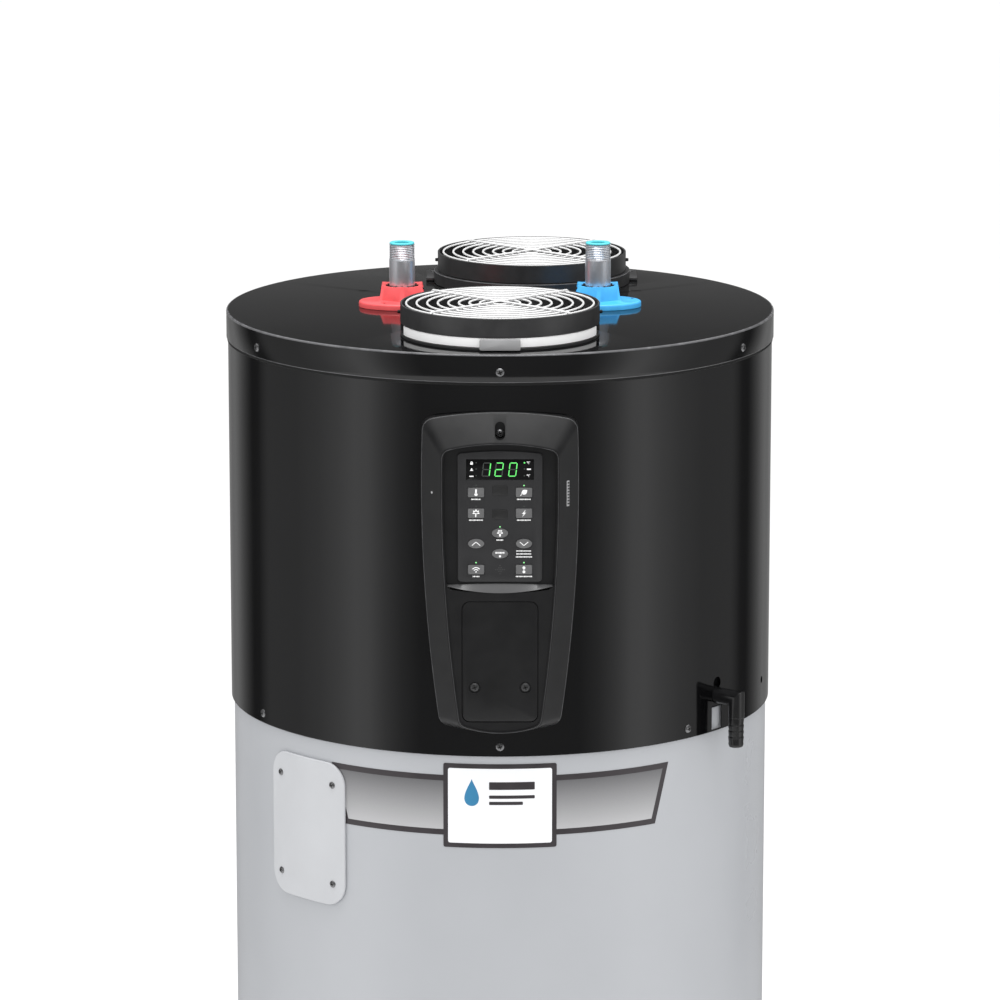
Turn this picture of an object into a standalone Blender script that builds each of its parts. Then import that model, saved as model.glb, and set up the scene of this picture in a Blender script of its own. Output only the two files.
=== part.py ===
"""A heat pump water heater: a steel tank in a foamed jacket, with the heat pump in a shroud on top of it.

Metres, +Z up. The origin is on the floor, on the tank's axis, and the control panel faces -Y. A direction
round the tank is an angle in degrees from the front, which grows towards +X. Each piece that touches another
keeps a gap of GAP to it.
"""

from math import cos, radians, sin, tau

import bmesh
import bpy
from mathutils import Matrix, Vector

# Driving sizes.
GAP = 0.0003
SHELL_STEPS = 60
INNER_STEPS = 32
ROUND_STEPS = 16

JACKET_R = 0.2794  # a 22 inch jacket
SHEET = 0.0010
JACKET_TOP = 1.305
PAN_R = 0.2815
PAN_HEIGHT = 0.050

TANK_R = 0.228
TANK_WALL = 0.003
TANK_SHOULDERS = (0.105, 1.198)
TANK_ENDS = (0.062, 1.245)
FOAM_RADII = (0.2440, 0.2775)
FOAM_TOP = 1.278
COIL_R = 0.2372
RISER_ANGLE = 215.0
COMPRESSOR = (-0.125, -0.125)
COMPRESSOR_TOP = 1.546

SHROUD_R = 0.2824
SHROUD_BOTTOM = 1.281
LID_TOP = 1.690
LID_R = 0.2840
LID_SKIRT = 0.0284
LID_SHEET = 0.0012
TRAY_R = 0.2755
TRAY_FLOOR = 1.2865
TRAY_TOP = 1.340

PIPE_SPACING = 0.2032  # 8 inches between the nipples
PIPE_R = 0.01333  # 3/4 inch pipe
PIPE_BORE = 0.0095
PIPE_Y = 0.0025
PIPE_TOP = 1.7573

COLLAR_R = 0.1005  # takes an 8 inch duct
COLLAR_WALL = 0.002
COLLAR_BOTTOM = 1.7030
COLLAR_TOP = 1.7225
INLET = (0.0, -0.165)
OUTLET = (0.034, 0.165)
DUCT_HOLE_R = 0.0930
TAB_SIZE = (0.0130, 0.0540, 0.0030)  # the outlet's base is screwed down by a tab at each side
TAB_SPOTS = {"left": -0.1130, "right": 0.1000}
BASE_WALL_R = 0.0962  # the inside of the wall that the inlet's base has round its back
WIRE = 0.0024
GUARD_RINGS = 9
GUARD_PITCH = 0.0106
GUARD_R = 0.0945
GUARD_REACH = 0.0975
GUARD_FLOOR = COLLAR_TOP - 0.0035

FILTER_FLOOR = LID_TOP + 0.0036
FILTER_TOP = COLLAR_BOTTOM - GAP
FILTER_R = 0.1000
FILTER_BACK_R = 0.0955

PANEL_TOP = 1.633
PANEL_BOTTOM = 1.3085
PANEL_BOW = 0.0075
PANEL_HALF = 0.0785
PANEL_TAPER = 0.30
PANEL_WIDEST = 1.56
PANEL_FRONT = 0.304
PANEL_SHOULDER = 0.286
PANEL_FIELD = 0.2975
OVERLAY_FRONT = 0.2998
OVERLAY_BACK = 0.2978
BUTTON_SIZE = (0.0161, 0.0095)
BUTTON_PROUD = 0.0008

ELEMENT_ANGLE = -44.7
COVER_SIZE = (0.1067, 0.150)
UPPER_COVER_Z = 1.1845
LOWER_COVER_Z = 0.300
ELEMENT_DROP = 0.0145  # an element lies this far below the middle of its cover
ELEMENT_PLUG_R = 0.016
THERMOSTAT_Z = UPPER_COVER_Z - 0.046
THERMISTOR_Z = LOWER_COVER_Z + 0.034

ELBOW_ANGLE = 51.6
ELBOW_Z = 1.3182
ELBOW_R = 0.0082
ELBOW_BORE = 0.0060
ELBOW_REACH = 0.3067
ELBOW_END = 1.268
ELBOW_WINDOW_Z = 1.2945
OVERFLOW_HOLE = (0.0048, ELBOW_ANGLE, 1.3315)
SMALL_HOLE = (0.0025, 74.1, 1.3104)

DRAIN_Z = 0.125
RELIEF_ANGLE = 155.0
RELIEF_Z = 1.150
FITTING_R = 0.0128

LOOKS = {
    "black_gloss": ((0.030, 0.030, 0.032), 0.18, 0.0),
    "black_satin": ((0.040, 0.040, 0.042), 0.38, 0.0),
    "jacket_grey": ((0.42, 0.45, 0.48), 0.42, 0.0),
    "cover_grey": ((0.55, 0.55, 0.56), 0.50, 0.0),
    "enamel": ((0.05, 0.09, 0.14), 0.35, 0.0),
    "steel": ((0.50, 0.50, 0.51), 0.35, 1.0),
    "galvanised": ((0.58, 0.60, 0.62), 0.32, 1.0),
    "wire": ((0.80, 0.80, 0.80), 0.22, 0.6),
    "brass": ((0.70, 0.53, 0.25), 0.30, 1.0),
    "copper": ((0.72, 0.38, 0.24), 0.30, 1.0),
    "aluminium": ((0.72, 0.73, 0.74), 0.40, 1.0),
    "foam": ((0.80, 0.72, 0.50), 0.90, 0.0),
    "hot_red": ((0.80, 0.07, 0.08), 0.35, 0.0),
    "cold_blue": ((0.04, 0.30, 0.80), 0.35, 0.0),
    "liner_cyan": ((0.20, 0.75, 0.85), 0.35, 0.0),
    "panel_black": ((0.045, 0.045, 0.047), 0.42, 0.0),
    "overlay_grey": ((0.055, 0.056, 0.058), 0.50, 0.0),
    "button_grey": ((0.16, 0.16, 0.16), 0.50, 0.0),
    "smoked": ((0.004, 0.004, 0.005), 0.08, 0.0),
    "board_green": ((0.02, 0.16, 0.07), 0.45, 0.0),
    "tab_grey": ((0.36, 0.36, 0.36), 0.45, 0.0),
    "mesh_grey": ((0.30, 0.30, 0.31), 0.60, 0.0),
    "relief_red": ((0.65, 0.05, 0.04), 0.40, 0.0),
}


# The scene and its two collections.


def new_collection(name):
    made = bpy.data.collections.new(name)
    bpy.context.scene.collection.children.link(made)
    return made


for startup_object in list(bpy.data.objects):
    bpy.data.objects.remove(startup_object)
PARTS = new_collection("tank_water_heater")
CUTTERS = new_collection("cutters")
CUTTERS.hide_render = True


# Frames: local x runs across, local y up and local z outwards from the tank.


def facing(angle, z=0.0, out=0.0):
    """The frame of a piece on the side of the tank, at this angle and height and this far from the axis."""
    turn = Matrix.Rotation(radians(angle), 4, "Z")
    return turn @ Matrix.Translation((0, -out, z)) @ Matrix.Rotation(radians(90), 4, "X")


def upright(x, y, z=0.0):
    return Matrix.Translation((x, y, z))


# Objects and their materials.


def finish(name, look):
    colour, roughness, metallic = LOOKS[look]
    made = bpy.data.materials.new(name + "_finish")
    made.use_nodes = True
    shader = made.node_tree.nodes["Principled BSDF"]
    shader.inputs["Base Color"].default_value = (*colour, 1)
    shader.inputs["Roughness"].default_value = roughness
    shader.inputs["Metallic"].default_value = metallic
    made.diffuse_color = (*colour, 1)
    return made


def place(name, mesh, look=None, frame=None):
    """An object on this mesh: a part with a material of its own, or a cutter where there is no look."""
    piece = bpy.data.objects.new(name, mesh)
    if look:
        PARTS.objects.link(piece)
        mesh.materials.append(finish(name, look))
    else:
        CUTTERS.objects.link(piece)
        piece.hide_render = True
        piece.display_type = "WIRE"
    piece.matrix_world = frame or Matrix()
    return piece


def finished_mesh(name, work):
    bmesh.ops.recalc_face_normals(work, faces=work.faces)
    mesh = bpy.data.meshes.new(name)
    work.to_mesh(mesh)
    work.free()
    mesh.shade_smooth()
    mesh.set_sharp_from_angle(angle=radians(35))
    return mesh


def combine(piece, *others, operation="DIFFERENCE"):
    for other in others:
        modifier = piece.modifiers.new(other.name, "BOOLEAN")
        modifier.operation = operation
        modifier.object = other
    return piece


def unite(piece, *others):
    return combine(piece, *others, operation="UNION")


# Shapes.


def turned(name, profile, look=None, frame=None, steps=ROUND_STEPS, more=()):
    """Turns (radius, height) points round local Z. They run down the outer side.

    A profile whose ends aren't both on the axis is closed into a ring. more holds other profiles that turn
    with it, such as that of a hollow, which runs up its outer side.
    """
    points, edges = [], []
    for chain in (profile, *more):
        start = len(points)
        points += [(radius, 0, height) for radius, height in chain]
        edges += [(i, i + 1) for i in range(start, len(points) - 1)]
        if chain[0][0] > 0:
            edges.append((len(points) - 1, start))
    mesh = bpy.data.meshes.new(name)
    mesh.from_pydata(points, edges, [])
    piece = place(name, mesh, look, frame)
    screw = piece.modifiers.new("turn", "SCREW")
    screw.steps = screw.render_steps = steps
    screw.use_merge_vertices = True
    screw.merge_threshold = 0.00001
    return piece


def ring(name, outer, inner, low, high, look=None, frame=None, steps=ROUND_STEPS):
    profile = [(outer, high), (outer, low), (inner, low), (inner, high)]
    return turned(name, profile, look, frame, steps)


def rod(name, radius, low, high, look=None, frame=None, steps=ROUND_STEPS):
    return turned(name, [(0, high), (radius, high), (radius, low), (0, low)], look, frame, steps)


def box(name, low, high, look=None, frame=None):
    size = [b - a for a, b in zip(low, high)]
    middle = [(a + b) / 2 for a, b in zip(low, high)]
    work = bmesh.new()
    bmesh.ops.create_cube(work, size=1, matrix=Matrix.Translation(middle) @ Matrix.Diagonal((*size, 1)))
    return place(name, finished_mesh(name, work), look, frame)


def raise_outlines(outlines, low, high):
    """A new bmesh of flat outlines, each raised from low to high."""
    work = bmesh.new()
    bases = [work.faces.new([work.verts.new((x, y, low)) for x, y in outline]) for outline in outlines]
    raised = bmesh.ops.extrude_face_region(work, geom=bases)
    tops = [item for item in raised["geom"] if isinstance(item, bmesh.types.BMVert)]
    bmesh.ops.translate(work, verts=tops, vec=(0, 0, high - low))
    return work


def prism(name, outline, low, high, look=None, frame=None):
    return prisms(name, [outline], low, high, look, frame)


def prisms(name, outlines, low, high, look=None, frame=None):
    return place(name, finished_mesh(name, raise_outlines(outlines, low, high)), look, frame)


def wrapped(name, outline, low, high, look=None, angle=0.0, z=0.0, strips=10):
    """A plate with this outline, bent round the tank's axis. low and high are its radii."""
    work = raise_outlines([outline], low, high)
    left, right = min(x for x, _ in outline), max(x for x, _ in outline)
    for step in range(1, strips):
        x = left + (right - left) * step / strips
        everything = [*work.verts, *work.edges, *work.faces]
        bmesh.ops.bisect_plane(work, geom=everything, plane_co=(x, 0, 0), plane_no=(1, 0, 0))
    for vert in work.verts:
        x, y, radius = vert.co
        turn = x / high
        vert.co = (radius * sin(turn), y, radius * cos(turn))
    return place(name, finished_mesh(name, work), look, facing(angle, z))


def loft(name, rings, look=None, frame=None):
    """A skin over rings of points, each with the same number of them, closed by a cap at both ends."""
    work = bmesh.new()
    layers = [[work.verts.new(point) for point in points] for points in rings]
    count = len(layers[0])
    for lower, upper in zip(layers, layers[1:]):
        for i in range(count):
            j = (i + 1) % count
            work.faces.new((lower[i], lower[j], upper[j], upper[i]))
    work.faces.new(layers[0])
    work.faces.new(layers[-1])
    return place(name, finished_mesh(name, work), look, frame)


def tube(name, route, radius, look=None, sides=8):
    """A bar bent along the route's points, made into a mesh with its caps welded."""
    curve = bpy.data.curves.new(name, "CURVE")
    curve.dimensions = "3D"
    curve.bevel_depth = radius
    curve.bevel_resolution = sides // 2 - 2
    curve.use_fill_caps = True
    spline = curve.splines.new("POLY")
    spline.points.add(len(route) - 1)
    for point, place_on_route in zip(spline.points, route):
        point.co = (*place_on_route, 1)
    guide = bpy.data.objects.new(name + "_guide", curve)
    bpy.context.scene.collection.objects.link(guide)
    bpy.context.view_layer.update()
    mesh = bpy.data.meshes.new_from_object(guide.evaluated_get(bpy.context.evaluated_depsgraph_get()))
    bpy.data.objects.remove(guide)
    work = bmesh.new()
    work.from_mesh(mesh)
    bmesh.ops.remove_doubles(work, verts=work.verts, dist=0.00001)
    return place(name, finished_mesh(name, work), look)


# Outlines.


def circle(radius, steps=ROUND_STEPS, x=0.0, y=0.0):
    turns = [tau * step / steps for step in range(steps)]
    return [(x + radius * cos(turn), y + radius * sin(turn)) for turn in turns]


def arc(radius, start, end, steps):
    """Points round an arc, with angles in degrees from +X."""
    turns = [radians(start + (end - start) * step / steps) for step in range(steps + 1)]
    return [(radius * cos(turn), radius * sin(turn)) for turn in turns]


def rounded(corners, steps=3):
    """A polygon of (x, y, radius) corners, each one rounded to its radius."""
    outline = []
    for i, (x, y, radius) in enumerate(corners):
        here = Vector((x, y))
        if not radius:
            outline.append((x, y))
            continue
        back = (Vector(corners[i - 1][:2]) - here).normalized()
        ahead = (Vector(corners[(i + 1) % len(corners)][:2]) - here).normalized()
        half = back.angle(ahead) / 2
        middle = here + (back + ahead).normalized() * radius / sin(half)
        first = here + back * radius / (sin(half) / cos(half)) - middle
        last = here + ahead * radius / (sin(half) / cos(half)) - middle
        sweep = first.angle_signed(last)
        for step in range(steps + 1):
            turn = Matrix.Rotation(-sweep * step / steps, 2)
            outline.append(tuple(middle + turn @ first))
    return outline


def rectangle(width, height, radius, x=0.0, y=0.0, steps=3):
    a, b = width / 2, height / 2
    corners = [(x + a, y - b, radius), (x + a, y + b, radius), (x - a, y + b, radius), (x - a, y - b, radius)]
    return rounded(corners, steps) if radius else [corner[:2] for corner in corners]


def oval(width, height, x=0.0, y=0.0, steps=12):
    turns = [tau * step / steps for step in range(steps)]
    return [(x + width / 2 * cos(turn), y + height / 2 * sin(turn)) for turn in turns]


# The tank and what is in it.


def side_pipe(name, radius, angle, z, low, high, look=None, steps=16):
    """A round bar that points out of the tank's side, from one distance to another."""
    return rod(name, radius, low, high, look, facing(angle, z), steps)


def element_cavity(name, z):
    return box(name, (-0.040, -0.062, 0.232), (0.040, 0.062, 0.300), frame=facing(ELEMENT_ANGLE, z))


def make_tank():
    (low, high), (bottom, top) = TANK_SHOULDERS, TANK_ENDS

    def head(level, rise, radius, turns):
        return [(radius * sin(radians(a)), level + rise * cos(radians(a))) for a in turns]

    def skin(inset):
        radius = TANK_R - inset
        crown = head(high, top - high - inset, radius, (0, 30, 60, 90))
        base = head(low, low - bottom - inset, radius, (90, 120, 150, 180))
        return [(0 if r < 1e-6 else r, z) for r, z in crown + base]

    tank = turned("tank", skin(0), "enamel", steps=INNER_STEPS, more=[skin(TANK_WALL)[::-1]])
    holes = [
        rod(f"tank_{side}_hole", PIPE_R + GAP, 1.19, 1.26, frame=upright(x, PIPE_Y))
        for side, x in (("hot", -PIPE_SPACING / 2), ("cold", PIPE_SPACING / 2))
    ]
    holes.append(rod("tank_anode_hole", 0.0125 + GAP, 1.19, 1.26, frame=upright(0, 0.09)))
    holes += [
        side_pipe(f"tank_{name}_hole", radius + GAP, angle, z, 0.215, 0.235)
        for name, radius, angle, z in (
            ("upper_element", ELEMENT_PLUG_R, ELEMENT_ANGLE, UPPER_COVER_Z - ELEMENT_DROP),
            ("lower_element", ELEMENT_PLUG_R, ELEMENT_ANGLE, LOWER_COVER_Z - ELEMENT_DROP),
            ("drain", FITTING_R, 0, DRAIN_Z),
            ("relief", FITTING_R, RELIEF_ANGLE, RELIEF_Z),
        )
    ]
    return combine(tank, *holes)


def make_foam():
    inner, outer = FOAM_RADII
    profile = [(0, 0.055), (0.12, 0.060), (0.20, 0.078), (inner, 0.095), (inner, FOAM_TOP)]
    profile += [(outer, FOAM_TOP), (outer, 0.004), (0, 0.004)]
    foam = turned("foam_insulation", profile, "foam", steps=INNER_STEPS)
    return combine(
        foam,
        element_cavity("foam_upper_cavity", UPPER_COVER_Z),
        element_cavity("foam_lower_cavity", LOWER_COVER_Z),
        side_pipe("foam_drain_hole", 0.0200, 0, DRAIN_Z, 0.225, 0.300),
        side_pipe("foam_relief_hole", 0.0200, RELIEF_ANGLE, RELIEF_Z, 0.225, 0.300),
    )


def make_condenser():
    """The tube that is wound round the tank, and its riser to the compressor's discharge."""
    turns, per_turn, pitch, floor = 4, 20, 0.070, 0.42
    start = radians(RISER_ANGLE)
    route = []
    for step in range(turns * per_turn + 1):
        turn = start + tau * step / per_turn
        route.append((COIL_R * sin(turn), -COIL_R * cos(turn), floor + pitch * step / per_turn))
    x, y, _ = route[-1]
    end_x, end_y = COMPRESSOR
    route += [(x, y, 1.20), (x, y, 1.545), (x - 0.005, y - 0.013, 1.570), (x - 0.005, 0.02, 1.575)]
    route += [(end_x, end_y + 0.015, 1.575), (end_x, end_y, 1.567), (end_x, end_y, COMPRESSOR_TOP + GAP)]
    return tube("condenser_coil", route, 0.0046, "copper", sides=6)


def make_anode():
    profile = [(0, 1.2620), (0.018, 1.2620), (0.018, 1.2455), (0.0125, 1.2455), (0.0125, 1.205)]
    profile += [(0.0095, 1.205), (0.0095, 0.35), (0, 0.35)]
    return turned("anode_rod", profile, "aluminium", upright(0, 0.09), steps=12)


def make_dip_tube():
    profile = [(0.0088, 1.26), (0.0088, 0.20), (0.0072, 0.20), (0.0072, 1.26)]
    return turned("dip_tube", profile, "mesh_grey", upright(PIPE_SPACING / 2, PIPE_Y))


def make_element(name, z):
    """A screw-in heating element: a flange on the tank and a bent rod inside it."""
    head = side_pipe(name, 0.0205, ELEMENT_ANGLE, z, TANK_R + 0.0008, 0.243, "galvanised")
    plug = side_pipe(name + "_plug", ELEMENT_PLUG_R, ELEMENT_ANGLE, z, 0.216, TANK_R + 0.004)
    frame = facing(ELEMENT_ANGLE, z)
    bend = [(0.010, 0.219), (0.010, -0.04), (0.005, -0.05), (-0.005, -0.05), (-0.010, -0.04), (-0.010, 0.219)]
    rods = tube(name + "_rods", [frame @ Vector((0, across, out)) for across, out in bend], 0.004, sides=6)
    return unite(head, plug, rods)


def make_sensor(name, z):
    case = box(name, (-0.018, -0.010, TANK_R + 0.0005), (0.018, 0.010, 0.2445), "board_green",
               facing(ELEMENT_ANGLE, z))
    return case


# The jacket and its fittings.


def make_jacket():
    profile = [(JACKET_R, JACKET_TOP), (JACKET_R, 0.006), (JACKET_R - SHEET, 0.006), (JACKET_R - SHEET, JACKET_TOP)]
    jacket = turned("jacket", profile, "jacket_grey", steps=SHELL_STEPS)
    return combine(
        jacket,
        element_cavity("jacket_upper_cavity", UPPER_COVER_Z),
        element_cavity("jacket_lower_cavity", LOWER_COVER_Z),
        side_pipe("jacket_drain_hole", 0.0180, 0, DRAIN_Z, 0.260, 0.300),
        side_pipe("jacket_relief_hole", 0.0180, RELIEF_ANGLE, RELIEF_Z, 0.260, 0.300),
    )


def make_pan():
    inner = JACKET_R + GAP
    profile = [(0, 0.0025), (inner, 0.0025), (inner, PAN_HEIGHT), (PAN_R, PAN_HEIGHT), (PAN_R, 0.004)]
    profile += [(PAN_R - 0.004, 0), (0, 0)]
    return turned("bottom_pan", profile, "black_satin", steps=SHELL_STEPS)


def make_element_cover(name, z):
    width, height = COVER_SIZE
    low = JACKET_R + GAP
    return wrapped(name, rectangle(width, height, 0.024, steps=5), low, low + 0.0032, "cover_grey",
                   ELEMENT_ANGLE, z, strips=8)


def make_drain_valve():
    body = side_pipe("drain_valve_body", FITTING_R, 0, DRAIN_Z, 0.216, 0.300, "brass")
    block = side_pipe("drain_block", 0.0165, 0, DRAIN_Z, 0.292, 0.328)
    outlet = rod("drain_outlet", FITTING_R, DRAIN_Z - 0.044, DRAIN_Z, frame=upright(0, -0.312))
    bore = rod("drain_bore", 0.0085, DRAIN_Z - 0.060, DRAIN_Z - 0.012, frame=upright(0, -0.312), steps=16)
    combine(unite(body, block, outlet), bore)
    wheel = rod("drain_valve_stem", 0.0155, 0.335, 0.342, "relief_red", facing(0, DRAIN_Z), steps=16)
    return unite(wheel, side_pipe("drain_spindle", 0.005, 0, DRAIN_Z, 0.328 + GAP, 0.337))


def make_relief_valve():
    body = side_pipe("tp_valve_body", FITTING_R, RELIEF_ANGLE, RELIEF_Z, 0.216, 0.300, "brass")
    block = side_pipe("relief_block", 0.0165, RELIEF_ANGLE, RELIEF_Z, 0.290, 0.336)
    spot = facing(RELIEF_ANGLE, 0, 0.312).translation
    outlet = rod("relief_outlet", FITTING_R, RELIEF_Z - 0.042, RELIEF_Z, frame=upright(spot.x, spot.y))
    bore = rod("relief_bore", 0.0092, RELIEF_Z - 0.060, RELIEF_Z - 0.014, frame=upright(spot.x, spot.y), steps=16)
    combine(unite(body, block, outlet), bore)
    # The lever's origin is on its hinge, low on the outer end of the valve.
    lever = rounded([(0.006, -0.002, 0), (0.006, 0.046, 0.004), (-0.006, 0.046, 0.004), (-0.006, -0.002, 0)])
    return prism("tp_valve_lever", lever, 0, 0.0022, "relief_red", facing(RELIEF_ANGLE, RELIEF_Z - 0.004, 0.3378))


# The water pipes on top.


def make_pipe(side, x):
    frame = upright(x, PIPE_Y)
    end = PIPE_TOP - 0.0018
    ring(side + "_nipple", PIPE_R, PIPE_BORE, 1.212, end, "galvanised", frame)
    flange = [(0.0128, PIPE_TOP), (0.0128, end + GAP), (0.0091, end + GAP), (0.0091, end - 0.022)]
    flange += [(0.0074, end - 0.022), (0.0074, PIPE_TOP)]
    turned(side + "_nipple_liner", flange, "liner_cyan", frame)


def make_pipe_collar(side, x, look):
    """A moulded collar: an oval flange on the lid and a six-sided sleeve round the pipe."""
    frame = upright(x, PIPE_Y, LID_TOP + GAP)
    plate = prism(side + "_pipe_collar", oval(0.090, 0.063, steps=28), 0, 0.0062, look, frame)
    corners = [(sin(tau * i / 6), -cos(tau * i / 6)) for i in range(6)]
    sleeve = loft(
        side + "_collar_sleeve",
        [[(r * u, r * v, z) for u, v in corners] for r, z in ((0.0270, 0.004), (0.0240, 0.0235))],
        frame=frame,
    )
    bore = rod(side + "_collar_bore", 0.0165, -0.01, 0.04, frame=frame, steps=20)
    return combine(unite(plate, sleeve), bore)


# The heat pump's tray, shroud and lid.


def pipe_holes(name, radius, low, high):
    return [
        rod(f"{name}_{side}_pipe_hole", radius, low, high, frame=upright(x, PIPE_Y), steps=16)
        for side, x in (("hot", -PIPE_SPACING / 2), ("cold", PIPE_SPACING / 2))
    ]


def make_tray():
    top = TRAY_FLOOR + 0.002
    profile = [(0, top), (TRAY_R - 0.002, top), (TRAY_R - 0.002, TRAY_TOP), (TRAY_R, TRAY_TOP)]
    profile += [(TRAY_R, TRAY_FLOOR), (0, TRAY_FLOOR)]
    tray = turned("drip_tray", profile, "black_satin", steps=INNER_STEPS)
    riser = facing(RISER_ANGLE, 0, COIL_R).translation
    return combine(
        tray,
        *pipe_holes("tray", PIPE_R + 0.0008, 1.27, 1.30),
        rod("tray_riser_hole", 0.0075, 1.27, 1.30, frame=upright(riser.x, riser.y), steps=12),
        side_pipe("tray_drain_hole", ELBOW_R + 0.0006, ELBOW_ANGLE, ELBOW_Z, 0.25, 0.30),
    )


def make_shroud():
    profile = [(SHROUD_R, LID_TOP - LID_SHEET - 0.0006), (SHROUD_R, SHROUD_BOTTOM)]
    profile += [(SHROUD_R - SHEET, SHROUD_BOTTOM), (SHROUD_R - SHEET, LID_TOP - LID_SHEET - 0.0006)]
    shroud = turned("shroud", profile, "black_gloss", steps=SHELL_STEPS)
    window = box("shroud_window", (-0.0085, -0.0115, 0.27), (0.0085, 0.0130, 0.30), frame=facing(ELBOW_ANGLE, ELBOW_WINDOW_Z))
    return combine(
        shroud,
        window,
        side_pipe("shroud_elbow_hole", ELBOW_R + 0.0006, ELBOW_ANGLE, ELBOW_Z, 0.27, 0.30),
        side_pipe("shroud_overflow_hole", *OVERFLOW_HOLE, 0.27, 0.30, steps=12),
        side_pipe("shroud_small_hole", *SMALL_HOLE, 0.27, 0.30, steps=8),
        box("shroud_wire_hole", (-0.02, -0.015, 0.25), (0.02, 0.015, 0.30), frame=facing(0, 1.515)),
    )


def make_lid():
    """A drawn cap: flat on top, with a skirt over the shroud's rim."""
    bend, inner = 0.0018, LID_R - LID_SHEET
    under, hem = LID_TOP - LID_SHEET, LID_TOP - LID_SKIRT
    profile = [(0, LID_TOP), (LID_R - bend, LID_TOP), (LID_R, LID_TOP - bend), (LID_R, hem), (inner, hem)]
    profile += [(inner, under), (0, under)]
    lid = turned("lid", profile, "black_gloss", steps=SHELL_STEPS)
    holes = [
        rod("lid_inlet_hole", DUCT_HOLE_R, 1.68, 1.70, frame=upright(*INLET), steps=24),
        rod("lid_outlet_hole", DUCT_HOLE_R, 1.68, 1.70, frame=upright(*OUTLET), steps=24),
        *pipe_holes("lid", PIPE_R + 0.0015, 1.68, 1.70),
    ]
    return combine(lid, *holes)


def make_elbow():
    """A mitred elbow that takes the tray's condensate out through the shroud and down."""

    def rings(radius, start, end):
        spots = circle(radius, 16)
        return [
            [(u, v, start) for u, v in spots],
            [(u, v, ELBOW_REACH + v) for u, v in spots],
            [(u, end - ELBOW_Z, ELBOW_REACH + v) for u, v in spots],
        ]

    frame = facing(ELBOW_ANGLE, ELBOW_Z)
    elbow = loft("condensate_elbow", rings(ELBOW_R, 0.266, ELBOW_END), "black_satin", frame)
    return combine(elbow, loft("elbow_bore", rings(ELBOW_BORE, 0.260, ELBOW_END - 0.01), frame=frame))


# The ducts' bases, collars and guards, and the air filter.


def make_duct_base(name, centre, with_slot):
    """A ring on the lid. The inlet's is open to the front, for the filter, and the outlet's has two tabs."""
    frame = upright(*centre, LID_TOP + GAP)
    height = FILTER_TOP - LID_TOP - GAP
    floor = FILTER_FLOOR - LID_TOP - 2 * GAP
    outer = 0.1003 if with_slot else 0.1045
    base = ring(name, outer, DUCT_HOLE_R + 0.0005, 0, floor if with_slot else height, "black_satin", frame, 28)
    if with_slot:
        wall = arc(outer, 2, 178, 14) + arc(BASE_WALL_R, 178, 2, 14)
        unite(base, prism(name + "_wall", wall, floor - 0.001, height, frame=frame))
        return base
    for side, left in TAB_SPOTS.items():
        width, depth, tab_height = TAB_SIZE
        unite(base, box(f"{name}_{side}_tab", (left, 0, 0), (left + width, depth, tab_height),
                        frame=frame))
    return base


def make_collar(name, centre):
    """A short duct collar. The guard lies on four seats inside its rim, so the rim's top stays free."""
    wall, ledge = COLLAR_R - COLLAR_WALL, COLLAR_BOTTOM + 0.0014
    profile = [(COLLAR_R, COLLAR_TOP), (COLLAR_R, COLLAR_BOTTOM), (0.0890, COLLAR_BOTTOM), (0.0890, ledge)]
    profile += [(wall, ledge), (wall, COLLAR_TOP)]
    collar = turned(name, profile, "black_satin", upright(*centre), steps=28)
    for i in range(4):
        turn = Matrix.Rotation(radians(45 + 90 * i), 4, "Z")
        seat = box(f"{name}_seat_{i}", (0.0930, -0.004, 1.7150), (0.0993, 0.004, GUARD_FLOOR - GAP),
                   frame=upright(*centre) @ turn)
        unite(collar, seat)
    return collar


def make_guard(name, centre):
    """Wire rings under a cross of two bars."""
    half = WIRE / 2
    rings = []
    for i in range(GUARD_RINGS):
        radius = GUARD_R - i * GUARD_PITCH
        rings.append([(radius, WIRE), (radius + half, 0), (radius - half, 0)])
    frame = upright(*centre, GUARD_FLOOR)
    guard = turned(name, rings[0], "wire", frame, steps=ROUND_STEPS, more=rings[1:])
    cross = []
    for turn in (45, 135, 225, 315):
        along = Vector((cos(radians(turn)), sin(radians(turn))))
        across = along.orthogonal()
        cross += [tuple(along * GUARD_REACH - across * half), tuple(along * GUARD_REACH + across * half)]
        cross.append(tuple((along + across) * half))
    return unite(guard, prism(name + "_cross", cross, WIRE * 0.6, WIRE * 1.6, frame=frame))


def make_filter():
    frame = upright(*INLET)
    outline = arc(FILTER_R, -165, -15, 14) + arc(FILTER_BACK_R, -15, 195, 16)
    rim = prism("air_filter_frame", outline, FILTER_FLOOR, FILTER_TOP, "aluminium", frame)
    combine(rim, rod("filter_opening", 0.0870, 1.68, 1.72, frame=frame, steps=24))
    rod("air_filter_mesh", 0.0867, 1.6978, 1.6990, "mesh_grey", frame, steps=24)
    half, front, back = 0.0202, -0.1050, FILTER_R + 3 * GAP
    swing = 11.6
    tab = [(-half, front), (half, front)] + arc(back, -90 + swing, -90 - swing, 6)
    prism("air_filter_tab", tab, 1.6912, FILTER_TOP - 0.0002, "tab_grey", frame)


# The fan and the sealed refrigerant system.


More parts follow.
